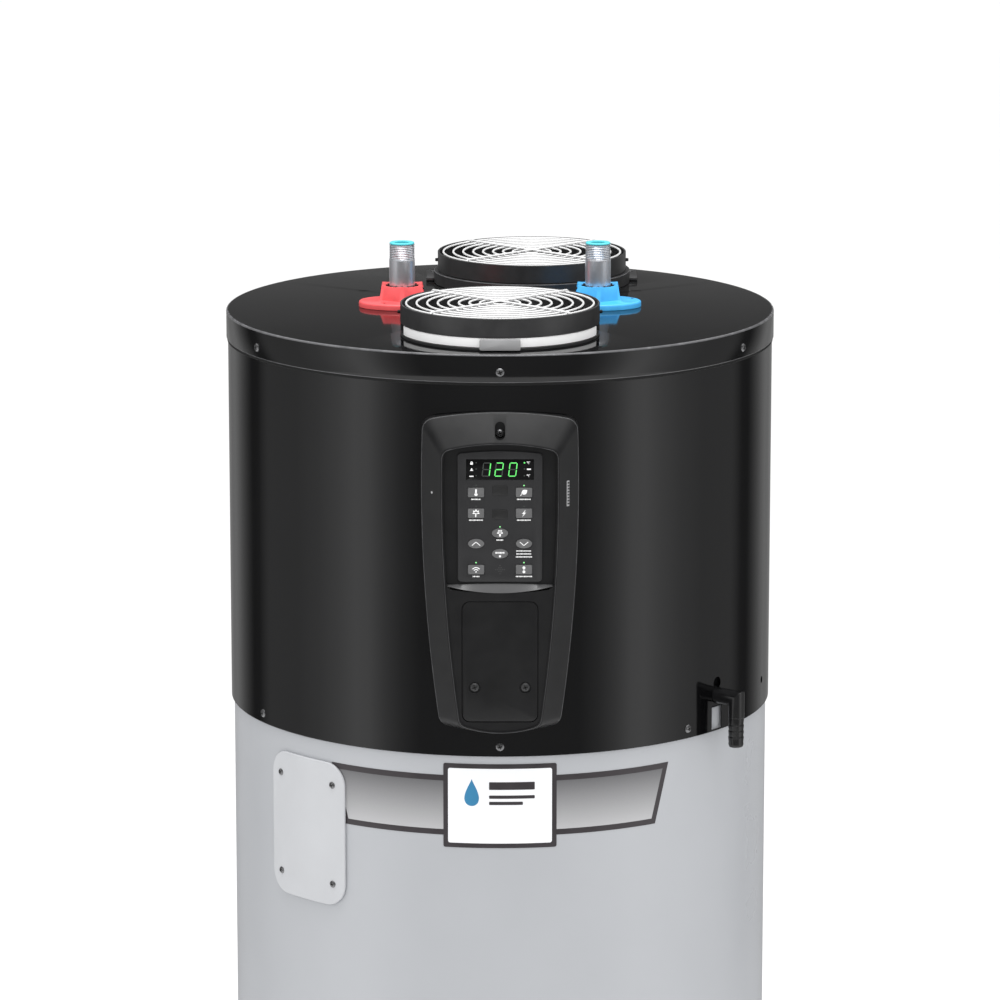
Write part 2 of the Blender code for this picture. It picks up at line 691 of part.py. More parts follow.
def make_fan():
    middle = 1.635
    hub = [(0, 1.655), (0.024, 1.655), (0.028, 1.650), (0.028, 1.615), (0.0045, 1.615), (0.0045, 1.648), (0, 1.648)]
    origin = upright(*OUTLET)
    rotor = turned("fan_rotor", hub, "black_satin", origin)
    for i in range(5):
        frame = upright(*OUTLET, middle) @ Matrix.Rotation(tau * i / 5, 4, "Z") @ Matrix.Rotation(radians(28), 4, "X")
        unite(rotor, box(f"fan_blade_{i}", (0.022, -0.022, -0.001), (0.088, 0.022, 0.001), frame=frame))
    motor = [(0, 1.640), (0.0040, 1.640), (0.0040, 1.605), (0.034, 1.605), (0.036, 1.602), (0.036, 1.545), (0, 1.545)]
    turned("fan_motor", motor, "steel", origin)
    top, low = LID_TOP - LID_SHEET - GAP, 1.545 - GAP
    strap = [(-0.125, top), (-0.125, top - 0.002), (-0.113, top - 0.002), (-0.113, low - 0.003)]
    strap += [(-x, z) for x, z in reversed(strap)]
    strap += [(0.111, top), (0.111, low), (-0.111, low), (-0.111, top)]
    x, y = OUTLET
    stand = upright(x, y) @ Matrix.Rotation(radians(90), 4, "X")
    prism("fan_bracket", strap, -0.012, 0.012, "galvanised", stand)


def make_compressor():
    floor = TRAY_FLOOR + 0.0023
    profile = [(0, COMPRESSOR_TOP), (0.0055, COMPRESSOR_TOP), (0.0055, 1.531), (0.042, 1.528), (0.055, 1.518)]
    profile += [(0.0575, 1.505), (0.0575, 1.310), (0.050, 1.2965), (0.068, 1.2965), (0.068, floor), (0, floor)]
    turned("compressor", profile, "black_satin", upright(*COMPRESSOR))
    flask = [(0, 1.520), (0.005, 1.520), (0.005, 1.505), (0.018, 1.502), (0.025, 1.490), (0.025, 1.302)]
    flask += [(0.018, floor), (0, floor)]
    turned("accumulator", flask, "black_satin", upright(-0.035, -0.150), steps=16)


def make_evaporator():
    """A finned block across the shroud. Its fins are at the front."""
    half, front, back, fins = 0.17, 0.045, 0.085, 20
    pitch = 2 * half / fins
    comb = []
    for i in range(fins):
        left = -half + i * pitch
        comb += [(left, front), (left + 0.006, front), (left + 0.006, front + 0.006), (left + pitch, front + 0.006)]
    comb[-1] = (half, front + 0.006)
    comb += [(half, back), (-half, back)]
    prism("evaporator_coil", comb, TRAY_FLOOR + 0.0023, 1.560, "aluminium")
    over = 1.575

    def drop(x):
        """The end of a line, down onto the block."""
        return [(x, 0.053, over), (x, 0.063, over - 0.003), (x, 0.065, over - 0.008), (x, 0.065, 1.560 + GAP)]

    suction = [(-0.035, -0.150, 1.520 + GAP), (-0.035, -0.150, 1.562), (-0.035, -0.140, over)]
    tube("refrigerant_line", suction + drop(-0.035), 0.0045, "copper", sides=8)
    x, y = 0.100, -0.090
    valve = rod("expansion_valve", 0.013, 1.400, 1.436, "brass", upright(x, y), steps=12)
    liquid = [(x, y, TRAY_FLOOR + 0.0023), (x, y, 1.548), (x - 0.015, y + 0.012, over), (0.060, 0.020, over)]
    unite(valve, tube("liquid_line", liquid + drop(0.060), 0.0035, sides=6))


# The control panel.


def shield(side, high, low, corner, bow=PANEL_BOW):
    """The panel's outline, with its sides drawn in: both ends are bowed, and the sides taper down."""

    def half(z):
        return PANEL_HALF - side - PANEL_TAPER * (z - PANEL_WIDEST) ** 2

    def end(z, rise):
        spots = [1 - 2 * i / 8 for i in range(1, 8)]
        return [(spot * half(z), z + rise * (1 - spot * spot), 0) for spot in spots]

    upper, lower, count = high - bow, low + bow, 7
    levels = [lower + (upper - lower) * i / count for i in range(1, count)]
    right = [(half(lower), lower, corner), *[(half(z), z, 0) for z in levels], (half(upper), upper, corner)]
    left = [(-x, z, radius) for x, z, radius in reversed(right)]
    return rounded(right + end(upper, bow) + left + [(-x, z, 0) for x, z, _ in end(lower, -bow)])


def at_height(outline, out):
    return [(x, y, out) for x, y in outline]


OVERLAY_BOTTOM, OVERLAY_TOP, OVERLAY_HALF, OVERLAY_BOW = 1.4645, 1.5962, 0.0418, 0.0026
WINDOW = (0.0664, 0.0203, 1.5777)
BOARD = (0.0720, 0.1160, 1.530)
PORT = (0.0750, 0.1222, 1.3834)
SIDE_X = 0.0237
BUTTONS = {
    "hybrid_button": (-SIDE_X, 1.5548, False),
    "heat_pump_button": (SIDE_X, 1.5548, False),
    "vacation_button": (-SIDE_X, 1.5338, False),
    "electric_button": (SIDE_X, 1.5338, False),
    "menu_button": (0.0, 1.5137, True),
    "up_button": (-SIDE_X, 1.5031, True),
    "down_button": (SIDE_X, 1.5031, True),
    "enter_button": (0.0, 1.4929, True),
    "wireless_button": (-SIDE_X, 1.4768, False),
    "pairing_button": (SIDE_X, 1.4768, False),
}


def cap_outline(is_oval, grow=0.0, x=0.0, y=0.0):
    width, height = (size + grow for size in BUTTON_SIZE)
    return oval(width, height, x, y) if is_oval else rectangle(width, height, 0.0012, x, y, steps=1)


def make_housing():
    front = facing(0)
    outer = shield(0, PANEL_TOP, PANEL_BOTTOM, 0.012)
    inner = shield(0.0200, 1.6046, 1.3103, 0.010)
    rings = [at_height(outer, 0.262), at_height(outer, PANEL_SHOULDER), at_height(inner, PANEL_FRONT)]
    housing = loft("panel_housing", rings, "panel_black", front)
    pocket_front = PANEL_FRONT + 0.01
    width, height, level = BOARD
    port_width, port_height, port_z = PORT
    return combine(
        housing,
        rod("panel_seat", SHROUD_R + GAP, 1.25, 1.70, steps=SHELL_STEPS),
        prism("panel_step", shield(0.0215, 1.6031, 1.3118, 0.009), PANEL_FRONT - 0.0012, pocket_front, frame=front),
        prism("panel_field", shield(0.0225, 1.6021, 1.4535, 0.008, 0.004), PANEL_FIELD, pocket_front, frame=front),
        prism("board_pocket", rectangle(width + 0.0045, height + 0.0055, 0, y=level), 0.2862, pocket_front,
              frame=front),
        prism("port_pocket", rectangle(port_width + 0.0008, port_height + 0.0008, 0.008, y=port_z), 0.2990,
              pocket_front, frame=front),
        prism("panel_keyhole", rectangle(0.0100, 0.0165, 0.0049, y=1.616, steps=4), 0.288, pocket_front, frame=front),
        box("panel_wire_hole", (-0.02, -0.015, 0.27), (0.02, 0.015, 0.2870), frame=facing(0, 1.515)),
    )


def make_keypad():
    front = facing(0)
    half, crown = OVERLAY_HALF, OVERLAY_TOP - OVERLAY_BOW
    bow = [(half * spot, OVERLAY_TOP - OVERLAY_BOW * spot * spot, 0) for spot in (0.6, 0.3, 0, -0.3, -0.6)]
    corners = [(half, OVERLAY_BOTTOM, 0.004), (half, crown, 0.004), *bow]
    corners += [(-half, crown, 0.004), (-half, OVERLAY_BOTTOM, 0.004)]
    overlay = prism("keypad_overlay", rounded(corners), OVERLAY_BACK, OVERLAY_FRONT, "overlay_grey", front)
    width, height, level = WINDOW
    holes = [rectangle(width + 2 * GAP, height + 2 * GAP, 0, y=level)]
    holes += [cap_outline(is_oval, 0.0008, x, z) for x, z, is_oval in BUTTONS.values()]
    combine(overlay, prisms("keypad_holes", holes, OVERLAY_BACK - 0.01, OVERLAY_FRONT + 0.01, frame=front))
    prism("display_window", rectangle(width, height, 0, y=level), 0.2950, OVERLAY_FRONT - 0.0002, "smoked", front)
    width, height, level = BOARD
    prism("control_board", rectangle(width, height, 0, y=level), 0.2868, 0.2884, "board_green", front)
    width, height, level = PORT
    prism("port_cover", rectangle(width, height, 0.008, y=level), 0.2993, 0.3026, "panel_black", front)


def make_button(name, x, z, is_oval):
    """A cap through the overlay, with a flange behind it. Its origin is on the overlay's face."""
    flange_back, flange_front = 0.2957 - OVERLAY_FRONT, 0.2969 - OVERLAY_FRONT
    cap, flange = cap_outline(is_oval), cap_outline(is_oval, 0.0022)
    rings = [(flange, flange_back), (flange, flange_front), (cap, flange_front), (cap, BUTTON_PROUD)]
    frame = facing(0, z, OVERLAY_FRONT) @ Matrix.Translation((x, 0, 0))
    return loft(name, [at_height(outline, out) for outline, out in rings], "button_grey", frame)


# The whole heater.


def main():
    make_pan()
    make_jacket()
    make_foam()
    make_tank()
    make_condenser()
    make_anode()
    make_dip_tube()
    for name, z in (("upper", UPPER_COVER_Z), ("lower", LOWER_COVER_Z)):
        make_element(name + "_element", z - ELEMENT_DROP)
        make_element_cover(name + "_element_cover", z)
    make_sensor("upper_thermostat", THERMOSTAT_Z)
    make_sensor("lower_thermistor", THERMISTOR_Z)
    make_drain_valve()
    make_relief_valve()
    for side, x, look in (("hot", -PIPE_SPACING / 2, "hot_red"), ("cold", PIPE_SPACING / 2, "cold_blue")):
        make_pipe(side, x)
        make_pipe_collar(side, x, look)
    make_tray()
    make_shroud()
    make_lid()
    make_elbow()
    for name, centre in (("inlet", INLET), ("outlet", OUTLET)):
        make_duct_base(name + "_base_ring", centre, with_slot=centre is INLET)
        make_collar(name + "_collar", centre)
        make_guard(name + "_guard", centre)
    make_filter()
    make_fan()
    make_compressor()
    make_evaporator()
    box("terminal_box", (0.165, -0.050, 1.400), (0.225, 0.030, 1.560), "steel")
    make_housing()
    make_keypad()
    for name, (x, z, is_oval) in BUTTONS.items():
        make_button(name, x, z, is_oval)


main()
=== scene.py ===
"""The looks of the heat pump water heater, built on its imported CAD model.

Metres, +Z up, with the origin on the floor below the tank. The control panel faces -Y. A direction round the
tank is an angle in degrees from the front, which grows towards +X. Sizes follow the CAD nodes' boxes.
"""

from math import atan2, cos, degrees, radians, sin, tau

import bmesh
import bpy
from mathutils import Matrix, Vector


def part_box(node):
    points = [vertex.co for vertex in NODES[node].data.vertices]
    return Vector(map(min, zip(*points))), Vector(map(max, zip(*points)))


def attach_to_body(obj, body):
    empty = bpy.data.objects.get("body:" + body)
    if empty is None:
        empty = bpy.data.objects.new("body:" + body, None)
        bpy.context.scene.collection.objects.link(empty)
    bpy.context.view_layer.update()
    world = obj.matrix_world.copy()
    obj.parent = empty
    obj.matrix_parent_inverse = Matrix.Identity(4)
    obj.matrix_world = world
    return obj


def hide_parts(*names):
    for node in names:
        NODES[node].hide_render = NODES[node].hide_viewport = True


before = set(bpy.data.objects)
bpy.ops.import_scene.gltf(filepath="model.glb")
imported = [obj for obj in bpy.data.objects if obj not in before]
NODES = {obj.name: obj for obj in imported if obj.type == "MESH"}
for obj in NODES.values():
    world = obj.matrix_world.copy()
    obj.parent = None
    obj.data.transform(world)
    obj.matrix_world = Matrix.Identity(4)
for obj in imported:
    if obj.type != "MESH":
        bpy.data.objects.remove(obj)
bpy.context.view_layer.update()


# The camera, the lights and the floor come first.


def make_camera():
    data = bpy.data.cameras.new("camera")
    data.lens = 185.2
    data.sensor_width = 36
    data.clip_end = 100
    camera = bpy.data.objects.new("camera", data)
    camera.location = (0, -5.271, 2.583)
    camera.rotation_euler = (radians(90 - 11.77), 0, 0)
    bpy.context.scene.collection.objects.link(camera)
    bpy.context.scene.camera = camera


def make_area_light(name, place, aim, size, power):
    data = bpy.data.lights.new(name, "AREA")
    data.shape = "RECTANGLE"
    data.size, data.size_y = size
    data.energy = power
    light = bpy.data.objects.new(name, data)
    light.location = place
    light.rotation_euler = (Vector(aim) - Vector(place)).to_track_quat("-Z", "Y").to_euler()
    bpy.context.scene.collection.objects.link(light)


def make_world():
    world = bpy.data.worlds.new("studio")
    bpy.context.scene.world = world
    world.use_nodes = True
    sky = world.node_tree.nodes["Background"]
    sky.inputs["Color"].default_value = (1.0, 1.0, 1.0, 1)
    sky.inputs["Strength"].default_value = 1.1
    bpy.context.scene.view_settings.view_transform = "Standard"


# Materials.


def wire_up(tree, kind, settings=(), **links):
    """A new node. settings are its properties, and links its inputs, as values or as other outputs.

    i_3 stands for the input of that number, and Brick_Width for the one of that name.
    """
    node = tree.nodes.new("ShaderNode" + kind)
    for key, value in dict(settings).items():
        setattr(node, key, value)
    for key, value in links.items():
        number = key.removeprefix("i_")
        socket = node.inputs[int(number) if number.isdigit() else key.replace("_", " ")]
        if isinstance(value, bpy.types.NodeSocket):
            tree.links.new(value, socket)
        else:
            socket.default_value = value
    return node


def object_place(tree):
    return wire_up(tree, "TexCoord").outputs["Object"]


def calculate(tree, operation, first, second=0.0):
    return wire_up(tree, "Math", {"operation": operation}, i_0=first, i_1=second).outputs[0]


def mixed(tree, share, low, high):
    """A colour between low, at a share of 0, and high."""
    colours = {"i_6": (*low, 1), "i_7": (*high, 1)}
    return wire_up(tree, "Mix", {"data_type": "RGBA"}, i_0=share, **colours).outputs[2]


def stretched(tree, stretch):
    """Object coordinates, drawn out along an axis where its factor is small."""
    if stretch == (1, 1, 1):
        return object_place(tree)
    return wire_up(tree, "Mapping", Vector=object_place(tree), Scale=stretch).outputs["Vector"]


def noise(tree, scale, detail=3.0, stretch=(1, 1, 1)):
    spots = wire_up(tree, "TexNoise", Vector=stretched(tree, stretch), Scale=scale, Detail=detail)
    return spots.outputs["Fac"]


def surface(
    name,
    colour,
    rough,
    metal=0.0,
    shade=(30, 0.08),
    haze=0.04,
    grain=(1500, 0.00002),
    stretch=(1, 1, 1),
):
    """A finish whose colour and roughness drift over the surface, with a fine bump.

    shade is the drift's scale per metre and its share of the colour, haze how far the roughness goes either
    way, and grain the bump's scale per metre and its depth.
    """
    made = bpy.data.materials.new(name)
    made.use_nodes = True
    tree = made.node_tree
    shader = tree.nodes["Principled BSDF"]
    shader.inputs["Metallic"].default_value = metal
    drift = noise(tree, shade[0], 4.0, stretch)
    spread = wire_up(tree, "MapRange", i_0=drift, i_1=0.3, i_2=0.7, i_3=0.0, i_4=1.0).outputs[0]
    low = [part * (1 - shade[1]) for part in colour]
    high = [min(part * (1 + shade[1]), 1) for part in colour]
    tree.links.new(mixed(tree, spread, low, high), shader.inputs["Base Color"])
    polish = wire_up(tree, "MapRange", i_0=spread, i_3=max(rough - haze, 0.03), i_4=rough + haze)
    tree.links.new(polish.outputs[0], shader.inputs["Roughness"])
    bump = wire_up(tree, "Bump", Height=noise(tree, grain[0], 2.0, stretch), Distance=grain[1])
    tree.links.new(bump.outputs[0], shader.inputs["Normal"])
    return made


def glowing(name, colour, strength):
    made = surface(name, colour, 0.4, shade=(200, 0.10))
    tree = made.node_tree
    shader = tree.nodes["Principled BSDF"]
    low, high = strength * 0.92, strength * 1.08
    glow = wire_up(tree, "MapRange", i_0=noise(tree, 400), i_3=low, i_4=high)
    tree.links.new(glow.outputs[0], shader.inputs["Emission Strength"])
    shader.inputs["Emission Color"].default_value = (*colour, 1)
    return made


STUDIO_R = 2.6
STUDIO_TOP = 3.2
# The studio wall's brightness at some angles from the front, the same on both sides.
STUDIO_GLOW = (
    (0, 0.25), (32, 0.21), (40, 0.40), (47, 0.70), (54, 1.13), (60, 1.18), (68, 0.88), (78, 0.60), (90, 0.41),
    (110, 0.28), (118, 0.07), (124, 0.05), (133, 0.22), (141, 0.36), (146, 0.38), (153, 0.28), (180, 0.28),
)
LID_GLOW = 0.115


def make_studio_wall():
    """A wall that only gloss sees: soft bands of light, and an even grey above the level of the lid."""
    made = bpy.data.materials.new("studio_wall")
    made.use_nodes = True
    tree = made.node_tree
    tree.nodes.remove(tree.nodes["Principled BSDF"])
    across, depth, height = wire_up(tree, "SeparateXYZ", Vector=object_place(tree)).outputs
    turn = calculate(tree, "ARCTAN2", across, calculate(tree, "MULTIPLY", depth, -1.0))
    share = calculate(tree, "DIVIDE", calculate(tree, "ABSOLUTE", turn), radians(180))
    ramp = wire_up(tree, "ValToRGB", i_0=share)
    stops = ramp.color_ramp.elements
    for angle, _ in STUDIO_GLOW[1:-1]:
        stops.new(angle / 180)
    for stop, (_, level) in zip(stops, STUDIO_GLOW):
        stop.color = (level / 2, level / 2, level / 2, 1)
    bands = calculate(tree, "MULTIPLY", ramp.outputs[0], 2.0)
    above = wire_up(tree, "MapRange", i_0=height, i_1=LID_TOP, i_2=LID_TOP + 0.03)
    level = wire_up(tree, "Mix", {"data_type": "FLOAT"}, i_0=above.outputs[0],
                    i_2=bands, i_3=LID_GLOW)
    glow = wire_up(tree, "Emission", Strength=level.outputs[0])
    tree.links.new(glow.outputs[0], tree.nodes["Material Output"].inputs["Surface"])
    work = bmesh.new()
    add_turned(work, [(STUDIO_R, STUDIO_TOP), (STUDIO_R, 0.02)], steps=96)
    wall = finished("studio_wall", work, made)
    wall.visible_camera = False
    wall.visible_diffuse = False
    wall.visible_shadow = False
    wall.visible_transmission = False


def make_floor():
    work = bmesh.new()
    half = 40.0
    corners = ((-half, -half), (half, -half), (half, half), (-half, half))
    work.faces.new([work.verts.new((x, y, 0)) for x, y in corners])
    floor = finished("floor", work, surface("pale_floor", (0.93, 0.93, 0.93), 0.85, shade=(1.5, 0.004)))


# Shapes. Each add_ function adds one closed shape to the bmesh called work.

FINE = 240  # the sides of a circle as wide as the tank
ON_AXIS = 1e-7  # a radius below this is on the axis


def turn_by(angle, axis="Z"):
    return Matrix.Rotation(radians(angle), 4, axis)


def facing(angle, z=0.0, out=0.0):
    """The frame of a piece on the side of the tank: local x across, y up and z outwards."""
    turn = turn_by(angle)
    return turn @ Matrix.Translation((0, -out, z)) @ turn_by(90, "X")


def at(x, y, z=0.0):
    return Matrix.Translation((x, y, z))


def rounded(corners, steps=4):
    """A polygon of (x, y, radius) corners, each one rounded to its radius."""
    outline = []
    for i, (x, y, radius) in enumerate(corners):
        here = Vector((x, y))
        if not radius:
            outline.append((x, y))
            continue
        back = (Vector(corners[i - 1][:2]) - here).normalized()
        ahead = (Vector(corners[(i + 1) % len(corners)][:2]) - here).normalized()
        half = back.angle(ahead) / 2
        middle = here + (back + ahead).normalized() * radius / sin(half)
        first = here + back * radius / (sin(half) / cos(half)) - middle
        last = here + ahead * radius / (sin(half) / cos(half)) - middle
        sweep = first.angle_signed(last)
        turns = [Matrix.Rotation(-sweep * step / steps, 2) for step in range(steps + 1)]
        outline += [tuple(middle + turn @ first) for turn in turns]
    return outline


def rectangle(width, height, radius=0.0, x=0.0, y=0.0, steps=4):
    a, b = width / 2, height / 2
    corners = ((x + a, y - b), (x + a, y + b), (x - a, y + b), (x - a, y - b))
    return rounded([(*corner, radius) for corner in corners], steps)


def oval(width, height, x=0.0, y=0.0, steps=32):
    turns = [tau * step / steps for step in range(steps)]
    return [(x + width / 2 * cos(turn), y + height / 2 * sin(turn)) for turn in turns]


def arc(radius, start, end, steps, x=0.0, y=0.0):
    """Points round an arc, with angles in degrees from +X."""
    turns = [radians(start + (end - start) * step / steps) for step in range(steps + 1)]
    return [(x + radius * cos(turn), y + radius * sin(turn)) for turn in turns]


def at_height(outline, height, place=Matrix()):
    return [place @ Vector((x, y, height)) for x, y in outline]


def new_loops(work, rings):
    return [[work.verts.new(point) for point in ring] for ring in rings]


def close_skin(work, loops, joined, slot):
    """Faces between neighbouring loops of verts. joined says that the last loop meets the first."""
    pairs = list(zip(loops, loops[1:]))
    if joined:
        pairs.append((loops[-1], loops[0]))
    for low, high in pairs:
        count = max(len(low), len(high))
        for i in range(count):
            j = (i + 1) % count
            corners = [low[i % len(low)], low[j % len(low)], high[j % len(high)], high[i % len(high)]]
            work.faces.new(list(dict.fromkeys(corners))).material_index = slot


def add_turned(work, profile, place=Matrix(), steps=96, slot=0):
    """A (radius, height) profile turned round local Z.

    It closes into a ring if neither end is on the axis, but a profile of two points stays an open wall.
    """
    loops = []
    for radius, height in profile:
        if radius < ON_AXIS:
            loops.append([work.verts.new(place @ Vector((0, 0, height)))])
            continue
        turns = [tau * step / steps for step in range(steps)]
        circle = [(radius * cos(turn), radius * sin(turn)) for turn in turns]
        loops.append([work.verts.new(point) for point in at_height(circle, height, place)])
    open_wall = len(profile) == 2
    close_skin(work, loops, profile[0][0] >= ON_AXIS and not open_wall, slot)


def add_drum(work, radius, low, high, place=Matrix(), steps=96, slot=0):
    add_turned(work, [(0, high), (radius, high), (radius, low), (0, low)], place, steps, slot)


def add_rings(work, rings, slot=0):
    """A skin over rings of points with the same number each, capped at both ends."""
    loops = new_loops(work, rings)
    close_skin(work, loops, False, slot)
    work.faces.new(loops[0]).material_index = slot
    work.faces.new(loops[-1]).material_index = slot


def shrunk(outline, inset):
    """The outline moved inwards, with each point along the mean of its two edges' normals."""
    count = len(outline)
    area = sum(outline[i - 1][0] * outline[i][1] - outline[i][0] * outline[i - 1][1] for i in range(count))
    side = 1 if area > 0 else -1
    moved = []
    for i, (x, y) in enumerate(outline):
        before = Vector((x, y)) - Vector(outline[i - 1])
        after = Vector(outline[(i + 1) % count]) - Vector((x, y))
        normal = (before.normalized() + after.normalized()).orthogonal().normalized() * side
        bend = max(normal.dot(before.normalized().orthogonal() * side), 0.5)
        moved.append((x + normal.x * inset / bend, y + normal.y * inset / bend))
    return moved


def add_plate(work, outline, low, high, place=Matrix(), slot=0, edge=0.0):
    """A flat plate from low to high, whose upper edge is rounded by edge."""
    layers = [(outline, low)]
    if edge:
        layers.append((outline, high - edge))
        layers.append((shrunk(outline, edge * 0.3), high - edge * 0.3))
    layers.append((shrunk(outline, edge), high) if edge else (outline, high))
    add_rings(work, [at_height(points, z, place) for points, z in layers], slot)


def add_box(work, low, high, place=Matrix(), slot=0, edge=0.0):
    width, depth = high[0] - low[0], high[1] - low[1]
    x, y = (low[0] + high[0]) / 2, (low[1] + high[1]) / 2
    outline = rectangle(width, depth, min(edge, width, depth), x, y, 2)
    add_plate(work, outline, low[2], high[2], place, slot, edge)


def add_tube(work, route, radius, closed=False, sides=8):
    """A round bar along the route's points."""
    points = [Vector(point) for point in route]
    count = len(points)
    loops = []
    across = None
    for i, point in enumerate(points):
        back = points[i - 1] if i or closed else point
        ahead = points[(i + 1) % count] if i + 1 < count or closed else point
        along = (ahead - back).normalized()
        across = (across - along * across.dot(along) if across else along.orthogonal()).normalized()
        up = along.cross(across)
        turns = [tau * step / sides for step in range(sides)]
        loops.append([work.verts.new(point + (across * cos(t) + up * sin(t)) * radius) for t in turns])
    close_skin(work, loops, closed, 0)
    if not closed:
        work.faces.new(loops[0])
        work.faces.new(loops[-1])


def finished(name, work, *materials, sharp=40):
    """An object on the bmesh, shaded smooth but for its sharp edges."""
    bmesh.ops.recalc_face_normals(work, faces=work.faces)
    mesh = bpy.data.meshes.new(name)
    work.to_mesh(mesh)
    work.free()
    for material in materials:
        mesh.materials.append(material)
    mesh.shade_smooth()
    mesh.set_sharp_from_angle(angle=radians(sharp))
    piece = bpy.data.objects.new(name, mesh)
    bpy.context.scene.collection.objects.link(piece)
    return piece


def cut(piece, *cutters):
    """Takes the cutters out of the piece. A cutter is a bmesh of closed shapes."""
    helpers = [finished("cutter", work) for work in cutters]
    for helper in helpers:
        modifier = piece.modifiers.new("cut", "BOOLEAN")
        modifier.object = helper
        modifier.solver = "EXACT"
        modifier.use_self = True
    bpy.context.view_layer.update()
    mesh = bpy.data.meshes.new_from_object(piece.evaluated_get(bpy.context.evaluated_depsgraph_get()))
    piece.modifiers.clear()
    piece.data = mesh
    mesh.set_sharp_from_angle(angle=radians(35))
    for helper in helpers:
        bpy.data.objects.remove(helper)
    return piece


def softened(piece, width, segments=2):
    """Rounds the piece's sharp edges."""
    bevel = piece.modifiers.new("soften", "BEVEL")
    bevel.width = width
    bevel.segments = segments
    bevel.limit_method = "ANGLE"
    bevel.angle_limit = radians(35)
    bevel.harden_normals = True
    return piece


def attach(piece, slot, *nodes, body="root"):
    """Gives the piece its body, and lets it stand for these CAD nodes, which it hides. slot is not used."""
    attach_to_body(piece, body)
    if nodes:
        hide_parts(*nodes)
    return piece


def show(name, work, look, *nodes, body="root"):
    """A piece whose finish has the name of its look."""
    return attach(finished(name, work, LOOKS[look]), look, *nodes, body=body)


# Sizes read from the CAD nodes, and places that follow part.py.


def middle_of(node):
    low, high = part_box(node)
    return (low + high) / 2


def heights(node):
    """The node's lowest and highest z."""
    return (corner.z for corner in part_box(node))


JACKET_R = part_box("jacket")[1].x
SHROUD_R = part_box("shroud")[1].x
SHROUD_LOW, SHROUD_HIGH = heights("shroud")
LID_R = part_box("lid")[1].x
LID_HEM, LID_TOP = heights("lid")
LID_SHEET = 0.0012
SHEET = 0.001
PIPE_SPOTS = {side: middle_of(side + "_nipple") for side in ("hot", "cold")}
PIPE_R = (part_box("hot_nipple")[1].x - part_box("hot_nipple")[0].x) / 2
PIPE_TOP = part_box("hot_nipple_liner")[1].z
COLLAR_SPOTS = {side: middle_of(side + "_collar") for side in ("inlet", "outlet")}
COLLAR_R = (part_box("inlet_collar")[1].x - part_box("inlet_collar")[0].x) / 2
COLLAR_LOW, COLLAR_TOP = heights("inlet_collar")
GUARD_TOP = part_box("inlet_guard")[1].z
DUCT_HOLE_R = 0.0930
GUARD_RAISE = 0.0018  # how far the wires stand above the CAD guards, to be level with the collars' rims
EYE_R = 0.0052  # the small wire eyes under each guard
ABOVE_LID, BELOW_LID = 1.70, 1.68  # the ends of a cutter through the lid
ELBOW_ANGLE = 51.6
ELBOW_Z = 1.3182
ELEMENT_ANGLE = -44.7
DRAIN_Z = 0.125
RELIEF_ANGLE = 155
RELIEF_Z = 1.150


# Materials of the whole object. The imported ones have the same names, so a name here may end in a number.

FINISHES = (
    surface("black_gloss", (0.0024, 0.0024, 0.0027), 0.085, haze=0.015, shade=(9, 0.15),
                           grain=(260, 0.000004)),
    surface("black_satin", (0.030, 0.030, 0.031), 0.36, shade=(60, 0.15), grain=(2200, 0.00003)),
    surface("jacket_grey", (0.440, 0.452, 0.474), 0.30, haze=0.03, shade=(7, 0.02),
                           grain=(900, 0.000003)),
    surface("cover_grey", (0.53, 0.54, 0.56), 0.46, shade=(20, 0.03), grain=(1800, 0.00003)),
    surface("enamel", (0.03, 0.06, 0.10), 0.30, shade=(12, 0.15), grain=(500, 0.00004)),
    surface("steel", (0.42, 0.42, 0.43), 0.34, 1.0, shade=(80, 0.15), stretch=(1, 1, 0.05)),
    surface("galvanised", (0.70, 0.72, 0.76), 0.36, 0.80, shade=(340, 0.03), haze=0.02,
                          grain=(900, 0.000002)),
    surface("wire", (0.86, 0.86, 0.86), 0.25, 0.15, shade=(300, 0.04)),
    surface("brass", (0.62, 0.45, 0.20), 0.30, 1.0, shade=(160, 0.15), haze=0.08, grain=(900, 0.00005)),
    surface("copper", (0.62, 0.30, 0.18), 0.28, 1.0, shade=(120, 0.18), haze=0.08),
    # The filter frame is near white and hardly metal, so its bright reflection is painted into its colour.
    surface("aluminium", (0.97, 0.97, 0.97), 0.32, 0.05, shade=(40, 0.02), haze=0.01,
                         grain=(900, 0.000001)),
    surface("foam", (0.72, 0.62, 0.38), 0.90, shade=(60, 0.12), grain=(500, 0.0008)),
    surface("hot_red", (0.88, 0.100, 0.108), 0.34, shade=(90, 0.08), grain=(1600, 0.00003)),
    surface("cold_blue", (0.060, 0.46, 0.93), 0.34, shade=(90, 0.08), grain=(1600, 0.00003)),
    surface("liner_cyan", (0.10, 0.62, 0.70), 0.35, shade=(200, 0.06)),
    surface("panel_black", (0.0115, 0.0115, 0.0120), 0.33, shade=(40, 0.12), haze=0.05,
                           grain=(2600, 0.00004)),
    surface("overlay_grey", (0.022, 0.022, 0.0235), 0.46, shade=(50, 0.08), grain=(3200, 0.00002)),
    surface("button_grey", (0.125, 0.125, 0.127), 0.44, shade=(150, 0.08), grain=(3200, 0.00002)),
    surface("display_glass", (0.002, 0.002, 0.0022), 0.10, haze=0.02, shade=(60, 0.2),
                             grain=(100, 0.000002)),
    surface("board_green", (0.012, 0.12, 0.05), 0.42, shade=(180, 0.25), grain=(900, 0.0001)),
    surface("tab_grey", (0.33, 0.33, 0.335), 0.42, shade=(80, 0.06), grain=(2200, 0.00003)),
    surface("relief_red", (0.58, 0.035, 0.03), 0.38, shade=(120, 0.10), grain=(1500, 0.00003)),
    surface("badge_white", (0.92, 0.93, 0.95), 0.34, shade=(30, 0.01)),
    surface("print_white", (0.96, 0.96, 0.96), 0.50, shade=(300, 0.03)),
    glowing("digit_green", (0.10, 0.62, 0.12), 0.70),
)
LOOKS = {made.name.split(".")[0]: made for made in FINISHES}
